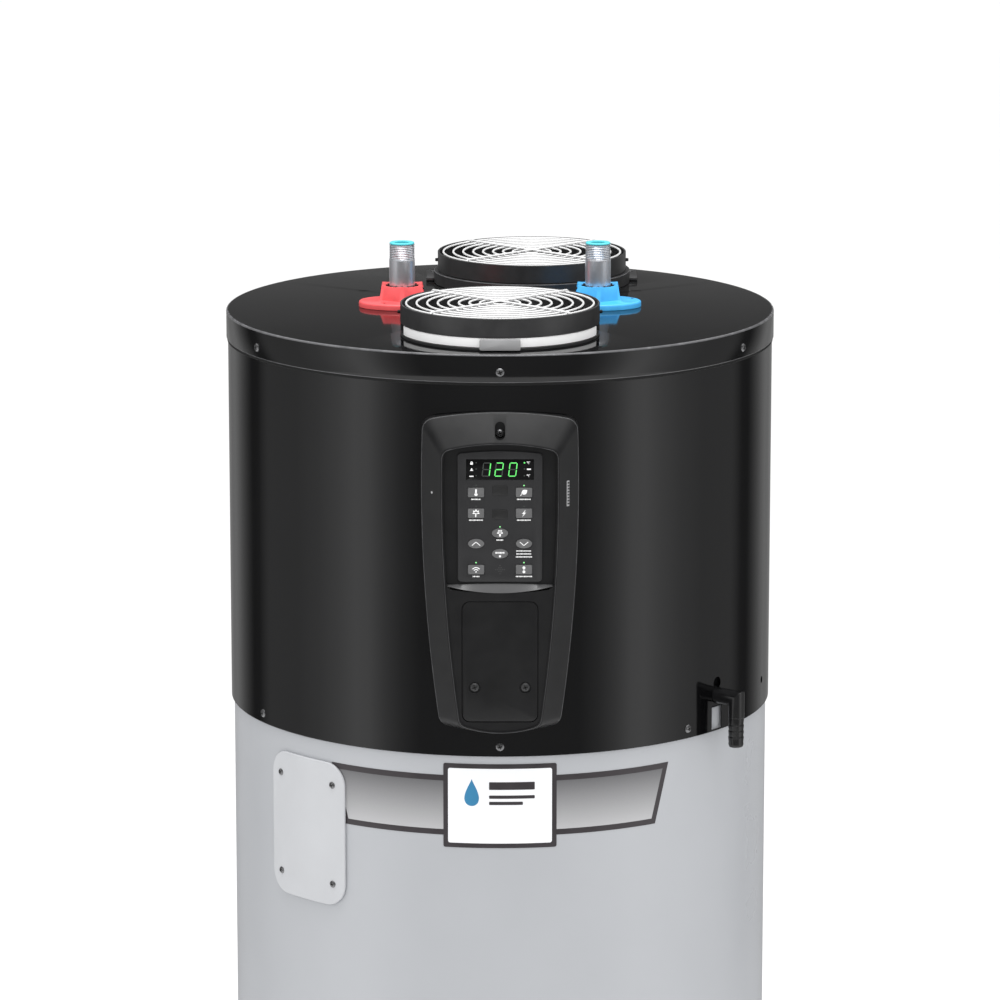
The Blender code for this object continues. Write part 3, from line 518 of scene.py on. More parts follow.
LOOKS["panel_black"].node_tree.nodes["Principled BSDF"].inputs["Specular IOR Level"].default_value = 0.3
DARK = surface("shadow_black", (0.004, 0.004, 0.004), 0.7, shade=(200, 0.2))
ZINC_SCREW = surface("screw_black", (0.20, 0.20, 0.205), 0.26, 0.8, shade=(400, 0.25), haze=0.08)
# A lighter grey that paints the highlight along bent and rounded edges.
PAINTED_EDGE_HIGHLIGHT = surface("painted_edge_highlight", (0.11, 0.11, 0.115), 0.25, shade=(90, 0.25), haze=0.06)
ELBOW_BLACK = surface("elbow_black", (0.008, 0.008, 0.0085), 0.20, shade=(90, 0.15), haze=0.05,
                      grain=(900, 0.00001))
# Darker than the overlay the pads are made of: their shading painted into their colour.
PAD_PAINTED_SHADE = surface("pad_painted_shade", (0.014, 0.014, 0.0145), 0.5, shade=(90, 0.1))
LAMP_GREEN = glowing("lamp_green", (0.20, 0.60, 0.22), 0.70)
DIM_SEGMENT = surface("dim_segment", (0.050, 0.058, 0.052), 0.30, shade=(300, 0.08))


def mesh_cloth():
    """The filter's woven screen: threads with darker holes between them, painted near black for the shade
    seen through them.
    """
    made = surface("mesh_grey", (0.16, 0.16, 0.165), 0.6, shade=(300, 0.1))
    tree = made.node_tree
    place, pitch = object_place(tree), 0.0016
    hole, other_hole, thread = (0.006, 0.006, 0.006, 1), (0.008, 0.008, 0.008, 1), (0.20, 0.20, 0.205, 1)
    weave = wire_up(tree, "TexBrick", {"offset": 0.0, "squash": 1.0}, Vector=place, Scale=1.0,
                    i_1=hole, i_2=other_hole, Mortar=thread, Brick_Width=pitch, Row_Height=pitch,
                    Mortar_Size=0.00025)
    tree.links.new(weave.outputs["Color"], tree.nodes["Principled BSDF"].inputs["Base Color"])
    return made


LOOKS["mesh_grey"] = mesh_cloth()


def dress_nodes():
    """Every CAD node gets the finish of its slot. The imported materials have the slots' names."""
    for node in NODES.values():
        for place in node.material_slots:
            place.material = LOOKS[place.material.name.split(".")[0]]


# Screws.


def add_screw(work, place, head_r=0.0036, proud=0.0017):
    """A pan head in material 0, with a thin cross on it in material 1."""
    dome = ((0, 1), (0.45, 0.97), (0.80, 0.72), (1, 0.25))
    profile = [(head_r * out, proud * up) for out, up in dome]
    add_turned(work, [*profile, (head_r, -0.0005), (0, -0.0005)], place, 24)
    arm, half = head_r * 0.55, head_r * 0.13
    for turn in (0, 90):
        across = place @ turn_by(turn + 20)
        add_box(work, (-arm, -half, proud * 0.55), (arm, half, proud + 0.00006), across, 1)


def side_screws(name, angles, z, radius):
    """Screws round the tank, at one height."""
    work = bmesh.new()
    for angle in angles:
        add_screw(work, facing(angle, z, radius), 0.0042, 0.0019)
    attach(finished(name, work, ZINC_SCREW, DARK), "black_satin")


# The jacket, the shroud and the lid.


def make_jacket():
    work = bmesh.new()
    low, high = heights("jacket")
    inner = JACKET_R - SHEET
    add_turned(work, [(JACKET_R, high), (JACKET_R, low), (inner, low), (inner, high)], steps=FINE)
    jacket = finished("jacket_skin", work, LOOKS["jacket_grey"])
    holes = bmesh.new()
    for node, height in (("drain_valve_body", DRAIN_Z), ("tp_valve_body", RELIEF_Z)):
        spot = middle_of(node)
        angle = degrees(atan2(spot.x, -spot.y))
        add_drum(holes, 0.018, 0.26, 0.30, facing(angle, height), 48)
    attach(cut(jacket, holes), "jacket_grey", "jacket")
    seam = bmesh.new()
    half, foot, top = 0.0075, low + 0.05, SHROUD_LOW - 0.003
    add_box(seam, (-half, foot, -0.0002), (half, top, 0.0009), facing(180, 0, JACKET_R), edge=0.0006)
    show("jacket_seam", seam, "jacket_grey")


def make_shroud():
    work = bmesh.new()
    inner = SHROUD_R - SHEET
    hem = 0.0004
    profile = [(SHROUD_R, SHROUD_HIGH), (SHROUD_R, SHROUD_LOW + hem), (SHROUD_R - hem, SHROUD_LOW)]
    profile += [(inner, SHROUD_LOW), (inner, SHROUD_HIGH)]
    add_turned(work, profile, steps=FINE)
    shroud = finished("shroud_skin", work, LOOKS["black_gloss"])
    holes = bmesh.new()
    add_box(holes, (-0.0085, -0.0115, 0.27), (0.0085, 0.0130, 0.30), facing(ELBOW_ANGLE, 1.2945))
    openings = ((ELBOW_ANGLE, ELBOW_Z, 0.0088), (ELBOW_ANGLE, 1.3310, 0.0062), (74.1, 1.3104, 0.0036))
    more = bmesh.new()
    for angle, z, radius in openings:
        add_drum(more, radius, 0.27, 0.30, facing(angle, z), 32)
    attach(cut(shroud, holes, more), "black_gloss", "shroud")
    side_screws("shroud_screws", (-59.3, 0, 42.5, 115, 180, -118), 1.2912, SHROUD_R)


def make_lid():
    bend, inner = 0.0018, LID_R - LID_SHEET
    under = LID_TOP - LID_SHEET
    turns = (0, 0.4, 0.8, 1.2, radians(90))
    curl = [(LID_R - bend * (1 - sin(turn)), LID_TOP - bend * (1 - cos(turn))) for turn in turns]
    profile = [(0, LID_TOP), *curl, (LID_R, LID_HEM + 0.0006), (LID_R - 0.0004, LID_HEM), (inner, LID_HEM)]
    profile += [(inner, under), (0, under)]
    work = bmesh.new()
    add_turned(work, profile, steps=FINE)
    # Faces on the lid's bend and hem get slot 1, a lighter grey that paints the highlight these edges catch.
    for face in work.faces:
        middle = face.calc_center_median()
        out = middle.xy.length
        on_bend = out > LID_R - bend and middle.z > LID_TOP - bend * 0.9
        on_hem = out > inner + 0.0004 and middle.z < LID_HEM + 0.0007
        face.material_index = int(on_bend or on_hem)
    lid = finished("lid_skin", work, LOOKS["black_gloss"], PAINTED_EDGE_HIGHLIGHT)
    holes = bmesh.new()
    for spot in COLLAR_SPOTS.values():
        add_drum(holes, DUCT_HOLE_R, BELOW_LID, ABOVE_LID, at(spot.x, spot.y))
    more = bmesh.new()
    for spot in PIPE_SPOTS.values():
        add_drum(more, PIPE_R + 0.0015, BELOW_LID, ABOVE_LID, at(spot.x, spot.y), 48)
    for side in (-1, 1):
        add_plate(more, rectangle(0.011, 0.0032, 0.0015, side * 0.1438, 0.0990), BELOW_LID, ABOVE_LID)
    attach(cut(lid, holes, more), "black_gloss", "lid")
    # A near-black ring just below the lid's hem paints the shadow line under the hem.
    hem_shadow_ring = bmesh.new()
    ring = [(SHROUD_R + 0.0008, LID_HEM + 0.004), (SHROUD_R + 0.0008, LID_HEM - 0.0026)]
    ring.append((SHROUD_R + 0.0003, LID_HEM - 0.0030))
    add_turned(hem_shadow_ring, [*ring, (SHROUD_R + 0.0003, LID_HEM + 0.004)], steps=FINE)
    attach(finished("lid_hem_painted_shadow", hem_shadow_ring, DARK), "black_satin")
    side_screws("lid_screws", range(0, 360, 60), 1.6720, LID_R)


def make_pan():
    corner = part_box("bottom_pan")[1]
    radius, top = corner.x, corner.z
    inner = JACKET_R + 0.0003
    work = bmesh.new()
    profile = [(0, 0.0025), (inner, 0.0025), (inner, top), (radius - 0.0006, top), (radius, top - 0.0008)]
    profile += [(radius, 0.0040), (radius - 0.0012, 0.0012), (radius - 0.004, 0), (0, 0)]
    add_turned(work, profile, steps=FINE)
    show("pan_skin", work, "black_satin", "bottom_pan")


# The ducts' bases, collars and guards, and the air filter.


def make_duct_base(side, outer, with_slot):
    """The ring under a collar. The inlet's is open in front for the filter, and the outlet's has tabs."""
    spot = COLLAR_SPOTS[side]
    low, high = heights(side + "_base_ring")
    place = at(spot.x, spot.y, low)
    height, inner = high - low, DUCT_HOLE_R + 0.0005
    top = 0.0030 if with_slot else height
    work = bmesh.new()
    profile = [(outer, top - 0.0006), (outer, 0), (inner, 0), (inner, top), (outer - 0.0006, top)]
    add_turned(work, profile, place, 120)
    if with_slot:
        wall_inner = 0.0962
        wall = arc(outer, 2, 178, 60) + arc(wall_inner, 178, 2, 60)
        add_plate(work, wall, top - 0.0005, height, place)
    show(side + "_base_skin", work, "black_satin", side + "_base_ring")
    if with_slot:
        return
    tabs = bmesh.new()
    for left in (-0.1130, 0.1000):
        add_box(tabs, (left, 0, 0.0001), (left + 0.0130, 0.054, 0.0029), place, edge=0.0008)
        add_screw(tabs, place @ at(left + 0.0065, 0.044, 0.0028), 0.0030, 0.0015)
    attach(finished(side + "_base_tabs", tabs, LOOKS["black_satin"], DARK), "black_satin")
    # A thin tube round the ring's top edge, in the lighter grey of a painted highlight.
    rim = bmesh.new()
    ring = [place @ Vector((x, y, height - 0.0006)) for x, y in arc(outer - 0.0004, 0, 360, 120)[:-1]]
    add_tube(rim, ring, 0.0006, closed=True)
    attach(finished(side + "_base_rim", rim, PAINTED_EDGE_HIGHLIGHT), "black_satin")


def make_collar(side):
    spot = COLLAR_SPOTS[side]
    wall, ledge = COLLAR_R - 0.002, COLLAR_LOW + 0.0014
    lip = 0.0005
    profile = [(COLLAR_R - lip, COLLAR_TOP), (COLLAR_R, COLLAR_TOP - lip), (COLLAR_R, COLLAR_LOW + lip)]
    profile += [(COLLAR_R - lip, COLLAR_LOW), (0.0890, COLLAR_LOW), (0.0890, ledge), (wall, ledge)]
    profile += [(wall, COLLAR_TOP - lip), (wall + lip, COLLAR_TOP)]
    work = bmesh.new()
    add_turned(work, profile, at(spot.x, spot.y), 160)
    for i in range(4):
        place = at(spot.x, spot.y) @ turn_by(45 + 90 * i)
        add_box(work, (0.0930, -0.004, 1.7150), (0.0988, 0.004, 1.7186), place, edge=0.0005)
    show(side + "_collar_skin", work, "black_satin", side + "_collar")


def make_guard(side):
    """Wire rings under a cross of two bars with bent ends, a clip, and the two pins of the collar."""
    spot = COLLAR_SPOTS[side]
    centre = Vector((spot.x, spot.y, 0))
    thin = 0.0011
    over = GUARD_TOP - thin + GUARD_RAISE
    level = over - 1.8 * thin
    work = bmesh.new()
    for i in range(9):
        radius = 0.0945 - i * 0.0106
        route = [(spot.x + x, spot.y + y, level) for x, y in arc(radius, 0, 360, 96)[:-1]]
        add_tube(work, route, thin, closed=True)
    for turn in (45, 135, 225, 315):
        along = Vector((cos(radians(turn)), sin(radians(turn)), 0))
        across = along.cross(Vector((0, 0, 1)))
        route = [centre + along * reach + Vector((0, 0, over)) for reach in (0, 0.03, 0.06, 0.0962)]
        for reach, drop in ((0.0974, 0.0010), (0.0976, 0.0030)):
            route.append(centre + along * reach + Vector((0, 0, over - drop)))
        add_tube(work, route, thin)
        eye_middle = Vector((0, 0, level - 1.6 * thin))
        eye = []
        for x, y in oval(2 * EYE_R, 2 * EYE_R, steps=16):
            eye.append(centre + along * (0.0780 + x) + across * y + eye_middle)
        add_tube(work, eye, thin * 0.6, closed=True, sides=6)
    show(side + "_guard_wires", work, "wire", side + "_guard")
    clip = bmesh.new()
    add_turned(clip, [(0, 0.0010), (0.0018, 0.0008), (0.0022, 0), (0, 0)],
               at(spot.x, spot.y - 0.0966, COLLAR_TOP - 0.0004), 24)
    show(side + "_guard_clip", clip, "wire")
    pins = bmesh.new()
    for way in (-1, 1):
        pin = at(*spot) @ turn_by(90 * way, "Y")
        shift = pin @ Matrix.Translation((way * (spot.z - 1.7128), 0, COLLAR_R - 0.0003))
        add_turned(pins, [(0, 0.0032), (0.0015, 0.0030), (0.0018, 0.0024), (0.0018, 0), (0, 0)], shift, 20)
    attach(finished(side + "_collar_pins", pins, DARK), "black_satin")


def make_filter():
    spot = COLLAR_SPOTS["inlet"]
    low, high = heights("air_filter_frame")
    place = at(spot.x, spot.y)
    work = bmesh.new()
    outline = arc(0.1000, -165, -15, 80) + arc(0.0955, -15, 195, 90)
    add_plate(work, outline, low, high, place, edge=0.0006)
    opening = bmesh.new()
    add_drum(opening, 0.0870, 1.68, 1.72, place, 120)
    rim = cut(finished("filter_frame_skin", work, LOOKS["aluminium"]), opening)
    attach(rim, "aluminium", "air_filter_frame", body="air_filter")
    low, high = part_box("air_filter_tab")
    tab = bmesh.new()
    face = facing(0, (low.z + high.z) / 2)
    outline = rectangle(high.x - low.x, high.z - low.z, 0.0018)
    add_plate(tab, outline, -low.y - 0.0040, -low.y, face, edge=0.0008)
    show("filter_tab_skin", tab, "tab_grey", "air_filter_tab", body="air_filter")


# The water pipes and their moulded collars.


def make_nipple(side):
    spot = PIPE_SPOTS[side]
    low, high = heights(side + "_nipple")
    bore, depth, pitch, thread = 0.0095, 0.0009, 0.00181, 0.0166
    turns, step = 64, 0.0003
    levels = [low, LID_TOP - 0.01, high - thread - 0.001]
    levels += [high - thread + step * i for i in range(int(thread / step) + 1)]
    work = bmesh.new()
    loops = []
    for z in levels:
        loop = []
        for i in range(turns):
            turn = tau * i / turns
            share = min(max((z - high + thread) / 0.002, 0), 1) * min(max((high - z) / 0.0012, 0), 1)
            along = ((z - low) / pitch - i / turns) % 1
            radius = PIPE_R - depth * (0.25 + 0.75 * abs(2 * along - 1)) * share
            radius -= 0.0010 * (z > high - 0.0002)
            loop.append(work.verts.new((spot.x + radius * cos(turn), spot.y + radius * sin(turn), z)))
        loops.append(loop)
    for z in (high, low):
        angles = [tau * i / turns for i in range(turns)]
        loops.append([work.verts.new((spot.x + bore * cos(a), spot.y + bore * sin(a), z)) for a in angles])
    close_skin(work, loops, True, 0)
    show(side + "_nipple_skin", work, "galvanised", side + "_nipple")
    liner = bmesh.new()
    end = PIPE_TOP - 0.0018
    profile = [(0.0122, PIPE_TOP), (0.0128, PIPE_TOP - 0.0005), (0.0128, end + 0.0003)]
    profile += [(0.0091, end + 0.0003), (0.0091, end - 0.022), (0.0074, end - 0.022)]
    profile += [(0.0074, PIPE_TOP - 0.0004), (0.0079, PIPE_TOP)]
    add_turned(liner, profile, at(spot.x, spot.y), 64)
    show(side + "_liner_skin", liner, "liner_cyan", side + "_nipple_liner")


FLANGE_EDGE = ((0, 0.0022), (0.0005, 0.0009), (0.0016, 0.0002), (0.0030, 0))  # each one is (inset, drop)


def make_pipe_collar(side, look):
    """An oval flange and a six-sided sleeve, whose hollow faces dip at the top between its corners."""
    spot = PIPE_SPOTS[side]
    low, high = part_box(side + "_pipe_collar")
    place = at(spot.x, spot.y)
    flange_top, bore, turns = low.z + 0.0062, 0.0165, 96
    work = bmesh.new()
    outline = oval(high.x - low.x, high.y - low.y, steps=96)
    layers = [(0, low.z)]
    layers += [(inset, flange_top - drop) for inset, drop in FLANGE_EDGE]
    loops = new_loops(work, [at_height(shrunk(outline, inset), z, place) for inset, z in layers])

    def six_sided(radius, hollow, z, dip):
        loop = []
        for i in range(turns):
            turn = tau * i / turns
            within = (turn + radians(90)) % radians(60) - radians(30)
            share = 1 - abs(within) / radians(30)
            reach = radius * cos(radians(30)) / cos(within) - hollow * (share * (2 - share))
            height = z - dip * (share * (2 - share))
            loop.append(work.verts.new(place @ Vector((reach * cos(turn), reach * sin(turn), height))))
        return loop

    top = high.z
    loops.append(six_sided(0.0290, 0.0, flange_top + 0.0002, 0))
    loops.append(six_sided(0.0268, 0.0008, flange_top + 0.0020, 0))
    for radius, hollow, drop in ((0.0243, 0.0006, 0.0005), (0.0238, 0.0006, 0), (0.0218, 0.0002, 0.0002)):
        loops.append(six_sided(radius, hollow, top - drop, 0.0010))
    hole = oval(2 * bore, 2 * bore, steps=turns)
    loops += new_loops(work, [at_height(hole, z, place) for z in (top - 0.0022, low.z)])
    close_skin(work, loops, True, 0)
    teeth = 12
    for i in range(teeth):
        tooth = place @ Matrix.Rotation(tau * i / teeth, 4, "Z")
        inner_foot = (PIPE_R + 0.0005, -0.0011, top - 0.0100)
        add_box(work, inner_foot, (bore + 0.0004, 0.0011, top - 0.0012), tooth, 1)
    reach = Vector((0.0179, 0.0214)) if side == "hot" else Vector((-0.0361, -0.0098))
    for way in (-1, 1):
        spot_on = place @ at(way * reach.x, way * reach.y, flange_top)
        add_turned(work, [(0, 0.0003), (0.0016, 0.0002), (0.0019, -0.0003), (0, -0.0003)], spot_on, 20, 1)
    for way in (-1, 1):
        pin = place @ at(way * 0.0213, 0, top - 0.0052) @ turn_by(90, "Y")
        add_drum(work, 0.0012, -0.0012, 0.0012, pin, 16, 1)
    attach(finished(side + "_pipe_collar_skin", work, LOOKS[look], DARK), look, side + "_pipe_collar")


# The control panel.

PANEL_LOW, PANEL_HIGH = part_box("panel_housing")
PANEL_FRONT = -PANEL_LOW.y
OVERLAY_LOW, OVERLAY_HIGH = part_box("keypad_overlay")
OVERLAY_FRONT = -OVERLAY_LOW.y
BEVEL_TURN = 44  # the slope of the strip and the dot in the side bevels
PANEL_HALF, PANEL_TAPER, PANEL_WIDEST, PANEL_BOW = 0.0785, 0.30, 1.56, 0.0075
MODES = ("hybrid", "heat_pump", "vacation", "electric")
BUTTONS = (*MODES, "menu", "up", "down", "enter", "wireless", "pairing")
WORD_WIDTHS = {
    "hybrid": 0.0094, "heat_pump": 0.0140, "vacation": 0.0136, "electric": 0.0138, "menu": 0.0070,
    "wireless": 0.0066, "pairing": 0.0160,
}
OVAL_BUTTONS = ("menu", "up", "down", "enter")


def shield(side, high, low, corner, bow=PANEL_BOW):
    """The panel's outline, with its sides drawn in: both ends are bowed, and the sides taper down."""

    def half(z):
        return PANEL_HALF - side - PANEL_TAPER * (z - PANEL_WIDEST) ** 2

    def end(z, rise):
        spots = [0.78 * (1 - i / 8) for i in range(17)]
        return [(spot * half(z), z + rise * (1 - spot * spot), 0) for spot in spots]

    upper, lower, count = high - bow, low + bow, 16
    levels = [lower + (upper - lower) * i / count for i in range(1, count)]
    right = [(half(lower), lower, corner), *[(half(z), z, 0) for z in levels], (half(upper), upper, corner)]
    left = [(-x, z, radius) for x, z, radius in reversed(right)]
    return rounded(right + end(upper, bow) + left + [(-x, z, 0) for x, z, _ in end(lower, -bow)], 5)


def make_housing():
    front = facing(0)
    top, bottom = PANEL_HIGH.z, PANEL_LOW.z
    steps = (
        (0, 0, 0.012, 0.262), (0, 0, 0.012, 0.2848), (0.0004, 0.0004, 0.0118, 0.2858),
        (0.0014, 0.0014, 0.0116, 0.2867), (0.0186, 0.0270, 0.0103, 0.3031), (0.0194, 0.0279, 0.0100, 0.3038),
        (0.0202, 0.0286, 0.0098, PANEL_FRONT),
    )
    rings = []
    for side, drop, corner, out in steps:
        low = bottom + drop * 0.06
        rings.append(at_height(shield(side, top - drop, low, corner), out, front))
    work = bmesh.new()
    add_rings(work, rings)
    housing = finished("housing_skin", work, LOOKS["panel_black"])
    pocket_front = PANEL_FRONT + 0.01
    board_low, board_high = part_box("control_board")
    port_low, port_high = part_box("port_cover")
    cuts = []

    def pocket(outline, low):
        cuts.append(bmesh.new())
        add_plate(cuts[-1], outline, low, pocket_front, front)

    seat = bmesh.new()
    add_drum(seat, SHROUD_R + 0.0003, 1.25, 1.70, steps=FINE)
    pocket(shield(0.0218, 1.6029, 1.3120, 0.009), PANEL_FRONT - 0.0012)
    pocket(shield(0.0225, 1.6021, 1.4535, 0.008, 0.004), 0.2975)
    width, height = board_high.x - board_low.x + 0.0045, board_high.z - board_low.z + 0.0055
    pocket(rectangle(width, height, 0.0, y=(board_low.z + board_high.z) / 2), 0.2862)
    width, height = port_high.x - port_low.x + 0.0012, port_high.z - port_low.z + 0.0012
    pocket(rectangle(width, height, 0.008, y=(port_low.z + port_high.z) / 2, steps=6), 0.2990)
    pocket(rectangle(0.0100, 0.0165, 0.0049, y=1.616, steps=8), 0.2900)
    attach(cut(housing, seat, *cuts), "panel_black", "panel_housing")
    softened(housing, 0.00045)
    key = bmesh.new()
    add_screw(key, facing(0, 1.6125, 0.2902), head_r=0.0041, proud=0.0022)
    attach(finished("panel_screw", key, ZINC_SCREW, DARK), "black_satin")


def make_panel_trim():
    """Painted edge highlights, the keypad's ledge painted light, the strip in the right bevel and the dot in
    the left one.
    """
    front = facing(0)
    # Thin tubes in a lighter grey along the face's edge and the back edge paint their highlights.
    edges = bmesh.new()
    face_edge = shield(0.0206, 1.6041, 1.3108, 0.0098)
    back_edge = shield(0.0009, PANEL_HIGH.z - 0.0009, PANEL_LOW.z + 0.0006, 0.0117)
    add_tube(edges, at_height(face_edge, PANEL_FRONT - 0.00022, front), 0.00026, closed=True)
    add_tube(edges, at_height(back_edge, 0.28635, front), 0.00022, closed=True)
    attach(finished("panel_edges", edges, PAINTED_EDGE_HIGHLIGHT), "panel_black")
    ledge = bmesh.new()
    half, count = 0.0520, 32
    spots = [1 - 2 * i / count for i in range(count + 1)]
    upper = [(half * s, 1.4610 + 0.0012 * (1 - s * s)) for s in spots]
    lower = [(half * s, 1.4604 - 0.0068 * (1 - s * s)) for s in spots]
    back, top, foot = 0.2972, 0.2984, 0.3030
    strips = ((upper, back), (upper, top), (lower, foot), (lower, back))
    rows = new_loops(ledge, [at_height(line, out, front) for line, out in strips])
    for low, high in zip(rows, rows[1:] + rows[:1]):
        for i in range(count):
            ledge.faces.new((low[i], low[i + 1], high[i + 1], high[i]))
    for i in (0, count):
        ledge.faces.new([row[i] for row in rows])
    # A grey far lighter than the panel's black: painted light on the ledge, which faces up.
    ledge_painted_light = surface("ledge_painted_light", (0.085, 0.085, 0.087), 0.34, shade=(60, 0.06))
    attach(finished("keypad_ledge", ledge, ledge_painted_light), "panel_black")
    strip = bmesh.new()
    bevel = facing(0, 1.5531, 0.2958) @ at(0.0668, 0) @ turn_by(BEVEL_TURN, "Y")
    add_box(strip, (-0.0018, -0.0129, -0.0012), (0.0018, 0.0129, 0.0009), bevel, edge=0.0004)
    for i in range(8):
        rise = i * 0.0030
        add_box(strip, (-0.0010, -0.0110 + rise, 0.0006), (0.0012, -0.0096 + rise, 0.0011), bevel, 1)
    attach(finished("bevel_strip", strip, LOOKS["tab_grey"], DARK), "tab_grey")
    dot = bmesh.new()
    dimple = facing(0, 1.5540, 0.2955) @ at(-0.0670, 0) @ turn_by(-BEVEL_TURN, "Y")
    add_turned(dot, [(0, 0.0009), (0.0012, 0.0007), (0.0015, 0.0001), (0, 0)], dimple, 20)
    show("bevel_dot", dot, "tab_grey")


def make_overlay():
    """The keypad's face, with a window, a hole for each button, two blank pads painted darker as shade, and
    the speaker's dots.
    """
    low, high, bow = OVERLAY_LOW.z, OVERLAY_HIGH.z, 0.0026
    half = OVERLAY_HIGH.x
    crown = high - bow
    top = [(half * s, high - bow * s * s, 0) for s in (0.8, 0.6, 0.4, 0.2, 0, -0.2, -0.4, -0.6, -0.8)]
    corners = [(half, low, 0.004), (half, crown, 0.004), *top, (-half, crown, 0.004), (-half, low, 0.004)]
    work = bmesh.new()
    add_plate(work, rounded(corners, 6), -OVERLAY_HIGH.y, OVERLAY_FRONT, facing(0), edge=0.0004)
    overlay = finished("overlay_skin", work, LOOKS["overlay_grey"])
    holes = bmesh.new()
    for name in BUTTONS:
        add_plate(holes, button_outline(name, 0.0005), 0.29, 0.31, facing(0))
    glass_low, glass_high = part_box("display_window")
    window = bmesh.new()
    outline = rectangle(glass_high.x - glass_low.x + 0.0006, glass_high.z - glass_low.z + 0.0006,
                        y=(glass_low.z + glass_high.z) / 2)
    add_plate(window, outline, 0.29, 0.31, facing(0))
    attach(cut(overlay, holes, window), "overlay_grey", "keypad_overlay")
    pads = bmesh.new()
    for z in (1.5569, 1.5328):
        pad = rectangle(0.0150, 0.0095, 0.0020, 0, z)
        add_plate(pads, pad, OVERLAY_FRONT - 0.0003, OVERLAY_FRONT + 0.0006, facing(0), edge=0.0006)
    for ring in range(3):
        for i in range(6 * ring or 1):
            turn = tau * i / (6 * ring or 1)
            x, z = 0.0021 * ring * cos(turn), 1.4768 + 0.0021 * ring * sin(turn)
            if ring < 2 or i % 3 == 0:
                spot = facing(0, z, OVERLAY_FRONT) @ at(x, 0)
                add_drum(pads, 0.00055, -0.0002, 0.0001, spot, 12, 1)
    speaker_grey = surface("speaker_grey", (0.06, 0.06, 0.06), 0.5, shade=(90, 0.1))
    attach(finished("overlay_pads", pads, PAD_PAINTED_SHADE, speaker_grey), "overlay_grey")


def button_outline(name, grow=0.0):
    """The outline of a button's cap, in the panel's x and z."""
    low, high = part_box(name + "_button")
    x, z = (low.x + high.x) / 2, (low.z + high.z) / 2
    width, height = 0.0161 + grow, 0.0095 + grow
    return oval(width, height, x, z, 36) if name in OVAL_BUTTONS else rectangle(width, height, 0.0012, x, z)


# Icons. Their outlines are in the x and y of a button, from its middle.


def bar(start, end, half=0.00032):
    along = (Vector(end) - Vector(start)).normalized()
    side = along.orthogonal() * half
    a, b = Vector(start), Vector(end)
    return [tuple(a + side), tuple(a - side), tuple(b - side), tuple(b + side)]


def bow_stroke(radius, start, end, y=0.0, x=0.0, half=0.0003):
    outer = arc(radius + half, start, end, 12, x, y)
    return outer + arc(radius - half, end, start, 12, x, y)


def leaf(length, width, turn, x=0.0, y=0.0):
    steps = 10
    side = [(length * (i / steps - 0.5), width * sin(radians(180 * i / steps))) for i in range(steps + 1)]
    outline = side + [(a, -b) for a, b in reversed(side[1:-1])]
    c, s = cos(radians(turn)), sin(radians(turn))
    return [(x + a * c - b * s, y + a * s + b * c) for a, b in outline]


def caption(width, x, z, height=0.0013):
    """A row of small blocks in the place of a word."""
    blocks, left = [], x - width / 2
    while left < x + width / 2 - 0.0004:
        size = 0.0007 + 0.0004 * (len(blocks) % 3 == 1)
        tall = height * (0.8 if len(blocks) % 4 == 2 else 1.0)
        blocks.append(rectangle(size, tall, 0.0001, left + size / 2, z))
        left += size + 0.00032
    return blocks


def icon(name):
    """The outlines of a button's sign."""
    if name == "hybrid":
        return [bar((0, -0.0008), (0, 0.0033), 0.00085), oval(0.0032, 0.0030, 0, -0.0019, 16)]
    if name == "heat_pump":
        stalk = bar((-0.0035, -0.0031), (-0.0014, -0.0010), 0.00035)
        return [leaf(0.0072, 0.0024, 35, 0.0003, 0.0004), stalk]
    if name == "vacation":
        fronds = []
        for turn in (-15, 35, 90, 145, 195):
            x, y = 0.0017 * cos(radians(turn)), 0.0008 + 0.0014 * sin(radians(turn))
            fronds.append(leaf(0.0042, 0.0009, turn, x, y))
        return fronds + [bar((0.0001, 0.0010), (-0.0004, -0.0036), 0.00055)]
    if name == "electric":
        return [[(0.0018, 0.0038), (-0.0020, -0.0005), (-0.0002, -0.0005), (-0.0018, -0.0038),
                 (0.0020, 0.0008), (0.0002, 0.0008)]]
    if name == "menu":
        return [rectangle(0.0040, 0.0013, 0.0004, 0, 0.0024), rectangle(0.0058, 0.0013, 0.0005, 0, 0.0003),
                rectangle(0.0017, 0.0056, 0.0004, 0, -0.0004)]
    if name in ("up", "down"):
        way = 1 if name == "up" else -1
        return [bar((side * 0.0041, -0.0018 * way), (0, 0.0018 * way), 0.00034) for side in (-1, 1)]
    if name == "enter":
        return [*caption(0.0094, 0, 0.0011, 0.0017), rectangle(0.0020, 0.0020, 0.0005, 0, -0.0024)]
    if name == "wireless":
        waves = [bow_stroke(radius, 42, 138, -0.0026, half=0.00042) for radius in (0.0028, 0.0048)]
        return waves + [oval(0.0014, 0.0014, 0, -0.0022, 12)]
    return [oval(0.0028, 0.0030, 0, 0.0020, 16), oval(0.0028, 0.0030, 0, -0.0020, 16),
            rectangle(0.0009, 0.0020, 0.0002)]


def make_button(name):
    """A cap through the overlay with a rounded edge and a flange behind it, and its sign."""
    node = name + "_button"
    low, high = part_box(node)
    front, back = -low.y, -high.y
    place = facing(0)
    cap, flange = button_outline(name), button_outline(name, 0.0022)
    flange_front = back + 0.0012
    edge = 0.0005
    layers = [(flange, back), (flange, flange_front), (cap, flange_front), (cap, front - edge)]
    layers += [(shrunk(cap, edge * 0.3), front - edge * 0.3), (shrunk(cap, edge), front - 0.00002)]
    work = bmesh.new()
    add_rings(work, [at_height(outline, out, place) for outline, out in layers])
    show(name + "_cap", work, "button_grey", node, body=node)
    sign = bmesh.new()
    middle = facing(0, (low.z + high.z) / 2, front) @ at((low.x + high.x) / 2, 0)
    for outline in icon(name):
        add_plate(sign, outline, -0.00006, 0.0, middle)
    show(name + "_sign", sign, "print_white", body=node)


# The display.

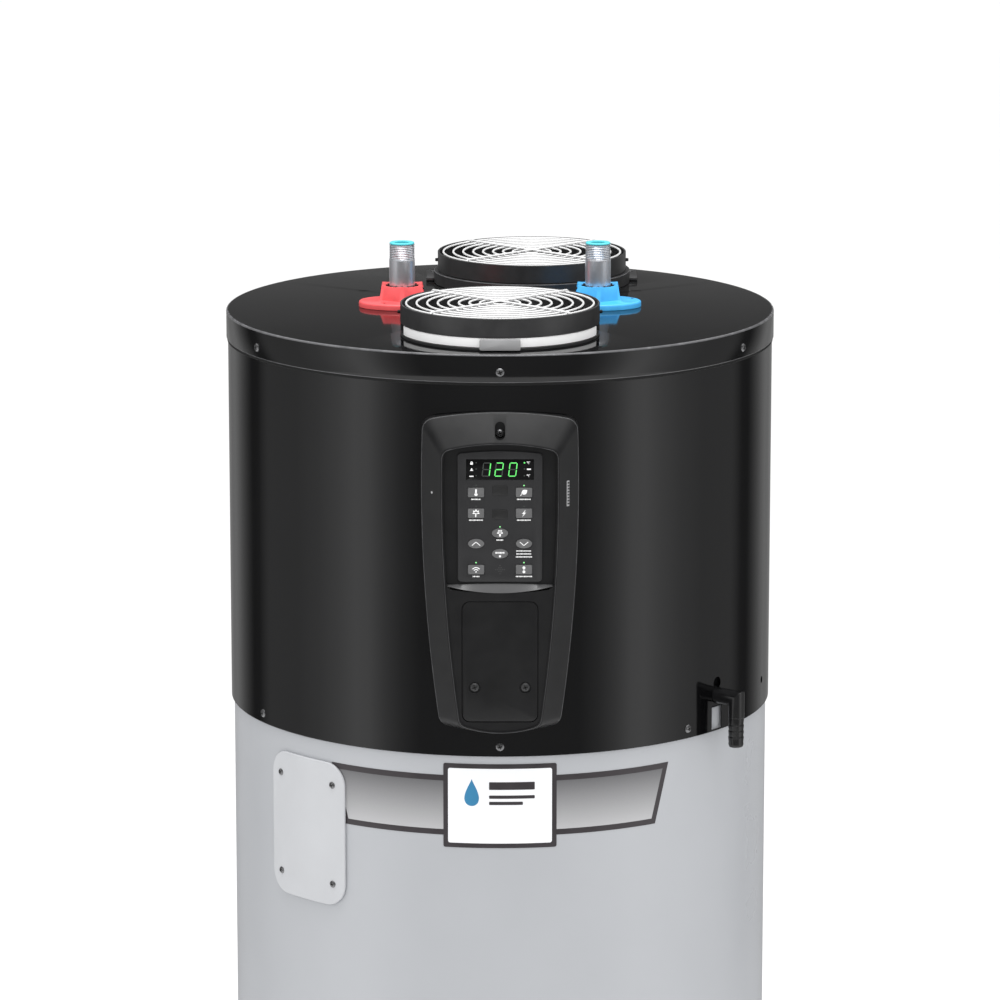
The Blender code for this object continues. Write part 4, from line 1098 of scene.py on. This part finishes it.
DIGIT = (0.0070, 0.0132)  # width and height
SLANT = 0.12
INK, LIT_INK, DIM_INK = 0.00005, 0.00007, 0.00004  # how far marks go into the glass, and out of it
SEGMENTS = {"0": "abcdef", "1": "bc", "2": "abged"}


def segment(letter):
    """A bar of a seven-segment digit, with pointed ends."""
    width, height = DIGIT
    a, b, half = width / 2, height / 2, 0.00052
    ends = {
        "a": ((-a, b), (a, b)), "b": ((a, b), (a, 0)), "c": ((a, 0), (a, -b)), "d": ((a, -b), (-a, -b)),
        "e": ((-a, -b), (-a, 0)), "f": ((-a, 0), (-a, b)), "g": ((-a, 0), (a, 0)),
    }
    start, end = (Vector(point) for point in ends[letter])
    along = (end - start).normalized()
    start, end = start + along * 0.0002, end - along * 0.0002
    side = along.orthogonal() * half
    inner_start, inner_end = start + along * half, end - along * half
    outline = [start, inner_start + side, inner_end + side, end, inner_end - side, inner_start - side]
    return [(x + SLANT * y, y) for x, y in outline]


def make_display():
    """Three lit digits, their unlit bars, and the small signs and lamps beside them."""
    low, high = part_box("display_window")
    glass = bmesh.new()
    middle_z = (low.z + high.z) / 2
    pane = rectangle(high.x - low.x, high.z - low.z, 0.0003, 0, middle_z)
    add_plate(glass, pane, -high.y, -low.y, facing(0), edge=0.0002)
    show("display_glass", glass, "display_glass", "display_window")
    lit, dim = bmesh.new(), bmesh.new()
    for number, x in zip("120", (-0.0134, -0.0009, 0.0127)):
        place = facing(0, 1.5778, -low.y) @ at(x, 0)
        for letter in "abcdefg":
            chosen = lit if letter in SEGMENTS[number] else dim
            add_plate(chosen, segment(letter), -INK, LIT_INK if chosen is lit else DIM_INK, place)
    side = facing(0, middle_z, -low.y)
    add_plate(lit, oval(0.0017, 0.0017, 0.0241, 0.0069, 16), -INK, LIT_INK, side)
    for y in (0.0007, -0.0061):
        add_plate(dim, oval(0.0015, 0.0015, 0.0241, y, 16), -INK, DIM_INK, side)
    for y in (0.0069, 0.0007, -0.0061):
        add_plate(dim, oval(0.0013, 0.0013, -0.0235, y, 16), -INK, DIM_INK, side)
    show("display_digits", lit, "digit_green")
    attach(finished("display_unlit", dim, DIM_SEGMENT), "display_glass")
    signs = bmesh.new()
    marks = [rectangle(0.0026, 0.0020, 0.0003, -0.0280, 0.0060)]
    marks.append(bow_stroke(0.0009, 0, 180, 0.0070, -0.0280))
    marks.append([(-0.0296, -0.0012), (-0.0264, -0.0012), (-0.0280, 0.0018)])
    marks.append(rectangle(0.0042, 0.0011, 0.0003, -0.0282, -0.0067))
    for y in (0.0069, -0.0061):
        marks.append(bow_stroke(0.0006, 0, 360, y + 0.0006, 0.0272, 0.00018))
        marks.append(bar((0.0284, y - 0.0012), (0.0284, y + 0.0012), 0.0002))
        marks.append(bar((0.0284, y + 0.0011), (0.0297, y + 0.0011), 0.0002))
    marks.append(rectangle(0.0040, 0.0014, 0.0002, 0.0285, 0.0004))
    for outline in marks:
        add_plate(signs, outline, -INK, LIT_INK, side)
    show("display_signs", signs, "print_white")


def make_keypad_print():
    """Lamps beside the buttons, and rows of small blocks where the captions are."""
    face = facing(0, 0, OVERLAY_FRONT)
    lamps, dark_lamps, bars = bmesh.new(), bmesh.new(), bmesh.new()
    for x, z in ((0.0237, 1.5618), (0, 1.5201), (-0.0237, 1.4839), (0.0237, 1.4839)):
        add_plate(lamps, oval(0.0015, 0.0015, x, z, 16), -0.0001, 0.00012, face)
    for x, z in ((-0.0237, 1.5618), (-0.0237, 1.5407), (0.0237, 1.5407)):
        add_plate(dark_lamps, oval(0.0015, 0.0015, x, z, 16), -0.0001, 0.00008, face)
    for name in BUTTONS:
        if name in ("up", "down", "enter"):
            continue
        low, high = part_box(name + "_button")
        width = WORD_WIDTHS[name]
        for block in caption(width, (low.x + high.x) / 2, low.z - 0.0011):
            add_plate(bars, block, -0.0001, 0.00006, face)
    for i, width in enumerate((0.0152, 0.0150, 0.0160)):
        for block in caption(width, 0.0237, 1.4957 - 0.0030 * i, 0.0012):
            add_plate(bars, block, -0.0001, 0.00006, face)
    attach(finished("keypad_lamps", lamps, LAMP_GREEN), "digit_green")
    attach(finished("keypad_lamps_off", dark_lamps, DIM_SEGMENT), "display_glass")
    show("keypad_captions", bars, "print_white")


def make_port_cover():
    low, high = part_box("port_cover")
    work = bmesh.new()
    outline = rectangle(high.x - low.x, high.z - low.z, 0.0075, 0, (low.z + high.z) / 2, 8)
    add_plate(work, outline, -high.y, -low.y, facing(0), edge=0.0007)
    seat, screw_z = 0.3012, 1.3573
    screw_spots = [at(across, 0) for across in (-0.0252, 0.0252)]
    wells = bmesh.new()
    for spot in screw_spots:
        place = facing(0, screw_z) @ spot
        add_drum(wells, 0.0058, seat, 0.31, place, 32)
    cover = cut(finished("port_cover_skin", work, LOOKS["panel_black"]), wells)
    attach(softened(cover, 0.00025), "panel_black", "port_cover")
    screws = bmesh.new()
    for spot in screw_spots:
        add_screw(screws, facing(0, screw_z, seat) @ spot, 0.0045, 0.0022)
    attach(finished("port_cover_screws", screws, LOOKS["black_satin"], DARK), "black_satin")


# Things on the jacket's side: the label, the element covers, the elbow and the valves.


def wrapped(name, outline, low, high, angle, z, *materials, strips=24):
    """A plate bent round the tank, between two radii. Its outline is in metres along the surface."""
    work = bmesh.new()
    add_plate(work, outline, low, high)
    left, right = min(x for x, _ in outline), max(x for x, _ in outline)
    for step in range(1, strips):
        x = left + (right - left) * step / strips
        everything = [*work.verts, *work.edges, *work.faces]
        bmesh.ops.bisect_plane(work, geom=everything, plane_co=(x, 0, 0), plane_no=(1, 0, 0))
    place = facing(angle, z)
    for vert in work.verts:
        x, y, radius = vert.co
        turn = x / high
        vert.co = place @ Vector((radius * sin(turn), y, radius * cos(turn)))
    return finished(name, work, *materials)


def along_jacket(angle):
    return radians(angle) * JACKET_R


def silver():
    """Printed foil: light grey at its foot and dark at its top."""
    made = surface("label_silver", (0.30, 0.30, 0.31), 0.36, shade=(26, 0.05), grain=(3000, 0.00001))
    tree = made.node_tree
    height = wire_up(tree, "SeparateXYZ", Vector=object_place(tree)).outputs[2]
    share = wire_up(tree, "MapRange", i_0=height, i_1=1.198, i_2=1.256).outputs[0]
    speckle = wire_up(tree, "MapRange", i_0=noise(tree, 900), i_3=-0.03, i_4=0.03).outputs[0]
    total = calculate(tree, "ADD", share, speckle)
    foil = mixed(tree, total, (0.50, 0.50, 0.51), (0.12, 0.12, 0.125))
    tree.links.new(foil, tree.nodes["Principled BSDF"].inputs["Base Color"])
    return made


def make_label():
    """A printed band round the front: silver, with a white plaque that has a plain drop and bars on it."""
    border = surface("label_border", (0.038, 0.032, 0.036), 0.40, shade=(60, 0.1))
    top, bottom, rim = 1.2600, 1.1980, 0.0058
    wide, narrow = along_jacket(37.6), along_jacket(34.2)
    plaque_half, plaque_top, plaque_bottom = along_jacket(11.75), 1.2725, 1.1855
    base = JACKET_R + 0.0001
    slope = (wide - narrow) / (top - bottom)

    def wing(inset, z_top, z_bottom):
        half_top = wide - slope * (top - z_top) - inset
        half_bottom = wide - slope * (top - z_bottom) - inset
        return [(half_bottom, z_bottom), (half_top, z_top), (-half_top, z_top), (-half_bottom, z_bottom)]

    def plaque(inset):
        return rectangle(2 * (plaque_half - inset), plaque_top - plaque_bottom - 2 * inset, 0.002,
                         y=(plaque_top + plaque_bottom) / 2)

    def printed(name, outline, thick, look, strips=24):
        attach(wrapped(name, outline, base, base + thick, 0, 0, look, strips=strips), "badge_white")

    printed("label_wings_border", wing(0, top, bottom), 0.00020, border, 48)
    printed("label_wings", wing(rim, top - rim, bottom + rim), 0.00028, silver(), 48)
    printed("label_plaque_border", plaque(0), 0.00036, border)
    printed("label_plaque", plaque(0.0048), 0.00044, LOOKS["badge_white"])
    turns = [tau * i / 40 for i in range(40)]
    drop = [(-0.0285 + 0.0105 * sin(t) * sin(t / 2) ** 1.5, 1.2430 + 0.0140 * cos(t)) for t in turns]
    water = surface("label_drop", (0.03, 0.22, 0.42), 0.36, shade=(60, 0.05))
    printed("label_drop", drop, 0.00050, water, 6)
    bars = ((0.046, 0.0080, 1.2500), (0.046, 0.0034, 1.2385), (0.034, 0.0034, 1.2320))
    for i, (width, height, z) in enumerate(bars):
        middle = 0.0120 - (0.046 - width) / 2
        printed(f"label_bar_{i}", rectangle(width, height, 0.0008, middle, z), 0.00050, border, 10)


def make_element_cover(side):
    node = side + "_element_cover"
    low, high = heights(node)
    width, height, middle = 0.1067, high - low, (low + high) / 2
    inner, outer = JACKET_R + 0.0003, JACKET_R + 0.0034
    outline = rectangle(width, height, 0.024, steps=12)
    cover = wrapped(side + "_cover_skin", outline, inner, outer, ELEMENT_ANGLE, middle, LOOKS["cover_grey"],
                    strips=16)
    attach(softened(cover, 0.0012, 3), "cover_grey", node)
    screws = bmesh.new()
    for up in (0.052, -0.052):
        for across in (-0.0380, 0.0380):
            turn = ELEMENT_ANGLE + degrees(across / outer)
            add_screw(screws, facing(turn, middle + up, outer - 0.0001))
    attach(finished(side + "_element_cover_screws", screws, ZINC_SCREW, DARK), "black_satin")


def make_elbow():
    """A mitred elbow with a squared corner. The lower part of its leg is barbed for a hose."""
    reach, radius, bore, end = 0.3067, 0.0082, 0.0060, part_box("condensate_elbow")[0].z
    place = facing(ELBOW_ANGLE, ELBOW_Z)
    spots = oval(2, 2, steps=48)

    def down(size, z):
        return [place @ Vector((u * size, z - ELBOW_Z, reach + v * size)) for u, v in spots]

    root = 0.266  # inside the shroud, from the tank's axis
    rings = [[place @ Vector((u * radius, v * radius, root)) for u, v in spots]]
    rings.append([place @ Vector((u * radius, v * radius, reach + v * radius)) for u, v in spots])
    rings.append(down(radius, 1.2990))
    rings.append(down(radius * 0.95, 1.2985))
    barb = 0.0062
    first_barb = 1.2968
    for i in range(4):
        start = first_barb - barb * i
        rings += [down(radius * 0.99, start), down(radius * 0.92, start - barb * 0.85)]
    rings += [down(radius * 0.96, end + 0.0030), down(radius * 0.84, end)]
    rings.append(down(bore, end))
    rings.append([place @ Vector((u * bore, v * bore, reach + v * bore)) for u, v in spots])
    rings.append([place @ Vector((u * bore, v * bore, root)) for u, v in spots])
    work = bmesh.new()
    close_skin(work, new_loops(work, rings), True, 0)
    elbow = softened(finished("elbow_skin", work, ELBOW_BLACK, sharp=30), 0.0007)
    attach(elbow, "black_satin", "condensate_elbow")


def make_valve_body(node, name, angle, z, block_out, outlet_low, bore):
    """A brass body: a nipple out of the tank, a block with a hexagon, and an outlet that points down."""
    side = facing(angle, z)
    outlet_out = 0.312  # from the tank's axis
    down = at(*facing(angle, 0, outlet_out).translation.xy)
    work = bmesh.new()
    profile = [(0, 0.216), (0.0128, 0.216), (0.0128, 0.296), (0.0160, 0.297), (0.0165, 0.299)]
    profile += [(0.0165, block_out - 0.002), (0.0150, block_out), (0, block_out)]
    add_turned(work, profile, side, 48)
    hexagon = oval(0.0330, 0.0330, steps=6)
    add_plate(work, hexagon, 0.2905, 0.2965, side, edge=0.0008)
    outlet = [(0.0128, z), (0.0128, outlet_low + 0.016), (0.0118, outlet_low + 0.015)]
    groove = 0.0015
    for i in range(8):
        top = outlet_low + 0.014 - groove * i
        outlet += [(0.0120, top), (0.0128, top - groove / 2)]
    outlet += [(0.0120, outlet_low), (bore, outlet_low), (bore, z)]
    add_turned(work, outlet, down, 48)
    attach(finished(name, work, LOOKS["brass"]), "brass", node)


def make_valves():
    make_valve_body("drain_valve_body", "drain_body_skin", 0, DRAIN_Z, 0.328, 0.081, 0.0085)
    make_valve_body("tp_valve_body", "relief_body_skin", RELIEF_ANGLE, RELIEF_Z, 0.336, 1.108, 0.0092)
    wheel = bmesh.new()
    place = facing(0, DRAIN_Z)
    outline = []
    for i in range(96):
        turn = tau * i / 96
        reach = 0.0147 + 0.0008 * cos(8 * turn)
        outline.append((reach * cos(turn), reach * sin(turn)))
    add_plate(wheel, outline, 0.335, 0.3415, place, edge=0.0010)
    add_drum(wheel, 0.005, 0.3284, 0.337, place, 24)
    add_screw(wheel, facing(0, DRAIN_Z, 0.3413), 0.0032, 0.0006)
    attach(finished("drain_wheel_skin", wheel, LOOKS["relief_red"], DARK), "relief_red", "drain_valve_stem",
           body="drain_stem")
    lever = bmesh.new()
    low, high = heights("tp_valve_lever")
    half, foot_r, top_r = 0.006, 0.002, 0.005
    corners = [(half, low, foot_r), (half, high, top_r), (-half, high, top_r), (-half, low, foot_r)]
    handle = rounded(corners, 6)
    side = facing(RELIEF_ANGLE)
    add_plate(lever, handle, 0.3379, 0.3391, side, edge=0.0003)
    for across in (-1, 1):
        rib = rectangle(0.0010, high - low - 0.012, 0.0, across * 0.0048, (low + high) / 2)
        add_plate(lever, rib, 0.3388, 0.3399, side)
    add_plate(lever, oval(0.0054, 0.0054, 0, low + 0.0035), 0.3388, 0.3400, side, 1)
    attach(finished("relief_lever_skin", lever, LOOKS["relief_red"], LOOKS["steel"]), "relief_red",
           "tp_valve_lever", body="tp_lever")


# The whole scene.


def main():
    make_camera()
    make_world()
    make_area_light("top_light", place=(0.0, -0.6, 4.6), aim=(0, 0, 1.5), size=(2.4, 1.6), power=80)
    make_floor()
    make_studio_wall()
    dress_nodes()
    make_pan()
    make_jacket()
    make_shroud()
    make_lid()
    make_duct_base("inlet", outer=0.1003, with_slot=True)
    make_duct_base("outlet", outer=0.1045, with_slot=False)
    for side in COLLAR_SPOTS:
        make_collar(side)
        make_guard(side)
    make_filter()
    for side, look in (("hot", "hot_red"), ("cold", "cold_blue")):
        make_nipple(side)
        make_pipe_collar(side, look)
    make_housing()
    make_panel_trim()
    make_overlay()
    for name in BUTTONS:
        make_button(name)
    make_display()
    make_keypad_print()
    make_port_cover()
    make_label()
    for side in ("upper", "lower"):
        make_element_cover(side)
    make_elbow()
    make_valves()


main()
